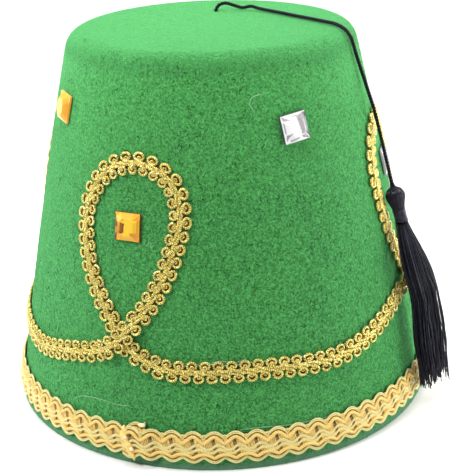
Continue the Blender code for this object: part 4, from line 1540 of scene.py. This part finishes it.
def make_skirt(settings, random, black):
    """Loose hanging threads, which keep to the outline of the whole skirt.

    A thread keeps its angle and its share of the half width from top to bottom, plus a sum of
    three sines. A few on the right stray outside by a bell over their length.
    """
    centre, sideways, outward, width, depth = skirt_lines()
    along = lengths_along(centre)
    count, stations = settings.threads, 26
    angle = random.random(count) * 2 * np.pi
    share = 0.96 * np.sqrt(0.25 + 0.75 * random.random(count))
    ends = 0.96 - 0.045 * np.sin(angle) + 0.015 * random.normal(0, 1, count)
    ends -= 0.12 * random.random(count) ** 2
    down_share = np.linspace(0, 1, stations)
    at = ends[:, None] * along[-1] * down_share
    c, s, o, w, d = columns_at(at, along, centre, sideways, outward, width, depth)
    waver = 0 * at
    for waves, reach in ((1.3, 0.6), (3.4, 0.4), (7.0, 0.24)):
        start = 6.3 * random.random((count, 1))
        waver += reach * random.normal(0, 1, (count, 1)) * np.sin(6.3 * waves * down_share + start)
    waver *= down_share**1.2 * MM
    strays = np.arange(count) >= count - SKIRT_STRAYS
    angle[strays] = np.pi / 2 + np.linspace(-0.5, 0.5, SKIRT_STRAYS)
    share[strays] = 0.96
    bell = np.sin(np.pi * np.clip((down_share - 0.2) / 0.9, 0, 1)) ** 2
    stray = (strays * (0.9 + 1.8 * random.random(count)) * MM)[:, None] * bell
    x, y = skirt_place(angle[:, None], share[:, None], down_share, w, d)
    lines = c + (x + waver)[..., None] * s + (y + stray)[..., None] * o
    # A few threads get a strong painted sheen.
    tones = np.broadcast_to(random.random((count, 1)) ** 4, (count, stations))
    mesh = tubes("skirt", lines, settings.thickness, 4, np.array([0.6, 0.8, 0.0]), tones=tones)
    return place("tassel_threads", mesh, [black], "thread_black", "tassel_skirt")


def make_core(settings):
    """Dull filling inside the skirt: 0.72 of its width, over 0.76 of its length."""
    lines = skirt_lines()
    along = lengths_along(lines[0])
    rows = int(len(along) * 0.76)
    centre, sideways, outward, width, depth = (line[:rows, None] for line in lines)
    down_share = (along / along[-1])[:rows, None]
    x, y = skirt_place(full_turn(30), 0.72, down_share, width, depth)
    grid = centre + x[..., None] * sideways + y[..., None] * outward
    dull = Finish("tassel_core", base_color=settings.thread, roughness=0.7).material
    return place("tassel_core", grid_mesh("core", grid, along[:rows]), [dull], "thread_black")


def make_knot(context):
    """The cord's end tied below the top: a trefoil.

    Its middle line is (sin t + 2 sin 2t, cos t - 2 cos 2t, -sin 3t) times its size.
    """
    settings = context.scene.fez_tassel
    t = np.linspace(0, 2 * np.pi, 90)
    loop = np.stack([np.sin(t) + 2 * np.sin(2 * t), np.cos(t) - 2 * np.cos(2 * t), -np.sin(3 * t)])
    low, high = (np.array(corner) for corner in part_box("cord_knot"))
    size = 0.62 * MM
    line = (low + high) / 2 + size * loop.T
    black = cord_finish("knot_black", settings.thread, CORD_PLY_MM, groove_shade=0.6, roughness=0.5)
    mesh = tubes("knot", line, size, 8, np.array([0.1, 0.2, 0.97]))
    return place("tied_knot", mesh, [black], "thread_black", "cord_knot")


# ------------------------------------------------------------ studio


# Soft lights: place, size and power.
LIGHTS = (
    ("key_light", (-0.4, -0.3, 0.6), 0.18, 3.7),
    ("top_light", (0.0, 0.0, 0.36), 0.25, 1.05),
    ("floor_light", (0.0, 1.3, 0.9), 1.2, 13.0),
    ("left_side_light", (-0.55, 0.3, 0.2), 0.3, 2.0),
    ("right_side_light", (0.55, 0.3, 0.2), 0.3, 3.1),
    ("right_low_light", (0.42, -0.1, 0.12), 0.2, 1.1),
)


# Half the side of the floor, in metres.
FLOOR_REACH = 4.0


def make_studio(context):
    """White floor and surroundings, soft lights above and at the sides, and the camera."""
    settings = context.scene.fez_studio
    scene = context.scene
    scene.view_settings.view_transform = "Standard"
    world = bpy.data.worlds.new("white_room")
    world.use_nodes = True
    sky = world.node_tree.nodes["Background"]
    sky.inputs["Color"].default_value = (1, 1, 1, 1)
    sky.inputs["Strength"].default_value = settings.sky
    scene.world = world
    floor_mesh = bpy.data.meshes.new("floor")
    sides = ((-1, -1), (1, -1), (1, 1), (-1, 1))
    corners = [(x * FLOOR_REACH, y * FLOOR_REACH, 0) for x, y in sides]
    floor_mesh.from_pydata(corners, [], [(0, 1, 2, 3)])
    floor = bpy.data.objects.new("floor", floor_mesh)
    floor_mesh.materials.append(Finish("floor_white", base_color=(0.95, 0.95, 0.95)).material)
    scene.collection.objects.link(floor)
    for name, position, size, power in LIGHTS:
        add_light(scene, name, position, size, power)
    camera = bpy.data.objects.new("camera", bpy.data.cameras.new("camera"))
    scene.collection.objects.link(camera)
    camera.matrix_world = camera_place(settings)
    camera.data.lens = settings.focal
    camera.data.clip_start = 0.05
    scene.camera = camera


def add_light(scene, name, position, size, power):
    """A square soft light that faces the hat."""
    data = bpy.data.lights.new(name, "AREA")
    data.size = size
    data.energy = power
    light = bpy.data.objects.new(name, data)
    light.location = position
    aim = Vector((0, 0, 0.08)) - Vector(position)
    light.rotation_euler = aim.to_track_quat("-Z", "Y").to_euler()
    light.visible_camera = False
    scene.collection.objects.link(light)


# Yaw to the right, pitch downwards and roll, in radians.
CAMERA_TURN = (0.0101, 0.3719, -0.0342)


def camera_place(settings):
    """Where the photograph was taken from, and which way the camera was turned."""
    yaw, pitch, roll = CAMERA_TURN
    ahead = np.array([
        math.sin(yaw) * math.cos(pitch), math.cos(yaw) * math.cos(pitch), -math.sin(pitch)
    ])
    right = np.array([math.cos(yaw), -math.sin(yaw), 0.0])
    up = np.cross(right, ahead)
    across = math.cos(roll) * right + math.sin(roll) * up
    above = -math.sin(roll) * right + math.cos(roll) * up
    matrix = np.eye(4)
    matrix[:3, :3] = np.stack([across, above, -ahead], axis=1)
    matrix[:3, 3] = (0.0, -settings.distance, settings.camera_height)
    return Matrix(matrix.tolist())


SETTINGS = {
    "fez_felt": FeltSettings,
    "fez_galloon": GalloonSettings,
    "fez_gimp": GimpSettings,
    "fez_tassel": TasselSettings,
    "fez_stones": StoneSettings,
    "fez_studio": StudioSettings,
}


class FEZ_OT_studio(bpy.types.Operator):
    """Set the floor, the light and the camera"""

    bl_idname = "fez.studio"
    bl_label = "Studio"

    def execute(self, context):
        make_studio(context)
        return {"FINISHED"}


class FEZ_OT_crown(bpy.types.Operator):
    """Make the fuzzy felt crown"""

    bl_idname = "fez.crown"
    bl_label = "Felt crown"

    def execute(self, context):
        make_crown(context)
        return {"FINISHED"}


class FEZ_OT_fuzz(bpy.types.Operator):
    """Scatter loose fibres on the felt"""

    bl_idname = "fez.fuzz"
    bl_label = "Felt fuzz"

    def execute(self, context):
        make_fuzz(context)
        return {"FINISHED"}


class FEZ_OT_galloon(bpy.types.Operator):
    """Make the wavy woven band"""

    bl_idname = "fez.galloon"
    bl_label = "Woven band"

    def execute(self, context):
        make_galloon(context)
        make_seam(context)
        return {"FINISHED"}


class FEZ_OT_gimp(bpy.types.Operator):
    """Make the scrolled gimp braid"""

    bl_idname = "fez.gimp"
    bl_label = "Gimp braid"

    def execute(self, context):
        make_gimp(context)
        return {"FINISHED"}


class FEZ_OT_stones(bpy.types.Operator):
    """Make the eight cut stones"""

    bl_idname = "fez.stones"
    bl_label = "Cut stones"

    def execute(self, context):
        make_stones(context)
        return {"FINISHED"}


class FEZ_OT_tassel(bpy.types.Operator):
    """Make the cord with its knot and tassel"""

    bl_idname = "fez.tassel"
    bl_label = "Cord and tassel"

    def execute(self, context):
        cord, route = make_cord(context)
        hung = make_tassel(context)
        knot = make_knot(context)
        return {"FINISHED"}


class FEZ_PT_panel(bpy.types.Panel):
    """The fez's pieces, in the order they are made"""

    bl_idname = "FEZ_PT_panel"
    bl_label = "Trimmed felt fez"
    bl_space_type = "VIEW_3D"
    bl_region_type = "UI"
    bl_category = "Fez"

    def draw(self, context):
        for operator in OPERATORS:
            self.layout.operator(operator.bl_idname)


OPERATORS = (
    FEZ_OT_studio,
    FEZ_OT_crown,
    FEZ_OT_fuzz,
    FEZ_OT_galloon,
    FEZ_OT_gimp,
    FEZ_OT_stones,
    FEZ_OT_tassel,
)


def register():
    """Add the settings, the operators and the panel."""
    for name, group in SETTINGS.items():
        bpy.utils.register_class(group)
        setattr(bpy.types.Scene, name, PointerProperty(type=group))
    for entry in (*OPERATORS, FEZ_PT_panel):
        bpy.utils.register_class(entry)


def unregister():
    """Take the panel, the operators and the settings away again."""
    for entry in reversed((*OPERATORS, FEZ_PT_panel)):
        bpy.utils.unregister_class(entry)
    for name, group in SETTINGS.items():
        delattr(bpy.types.Scene, name)
        bpy.utils.unregister_class(group)


def main():
    """Make every piece."""
    register()
    bpy.ops.fez.studio()
    bpy.ops.fez.crown()
    bpy.ops.fez.fuzz()
    bpy.ops.fez.galloon()
    bpy.ops.fez.gimp()
    bpy.ops.fez.stones()
    bpy.ops.fez.tassel()


if __name__ == "__main__":
    main()
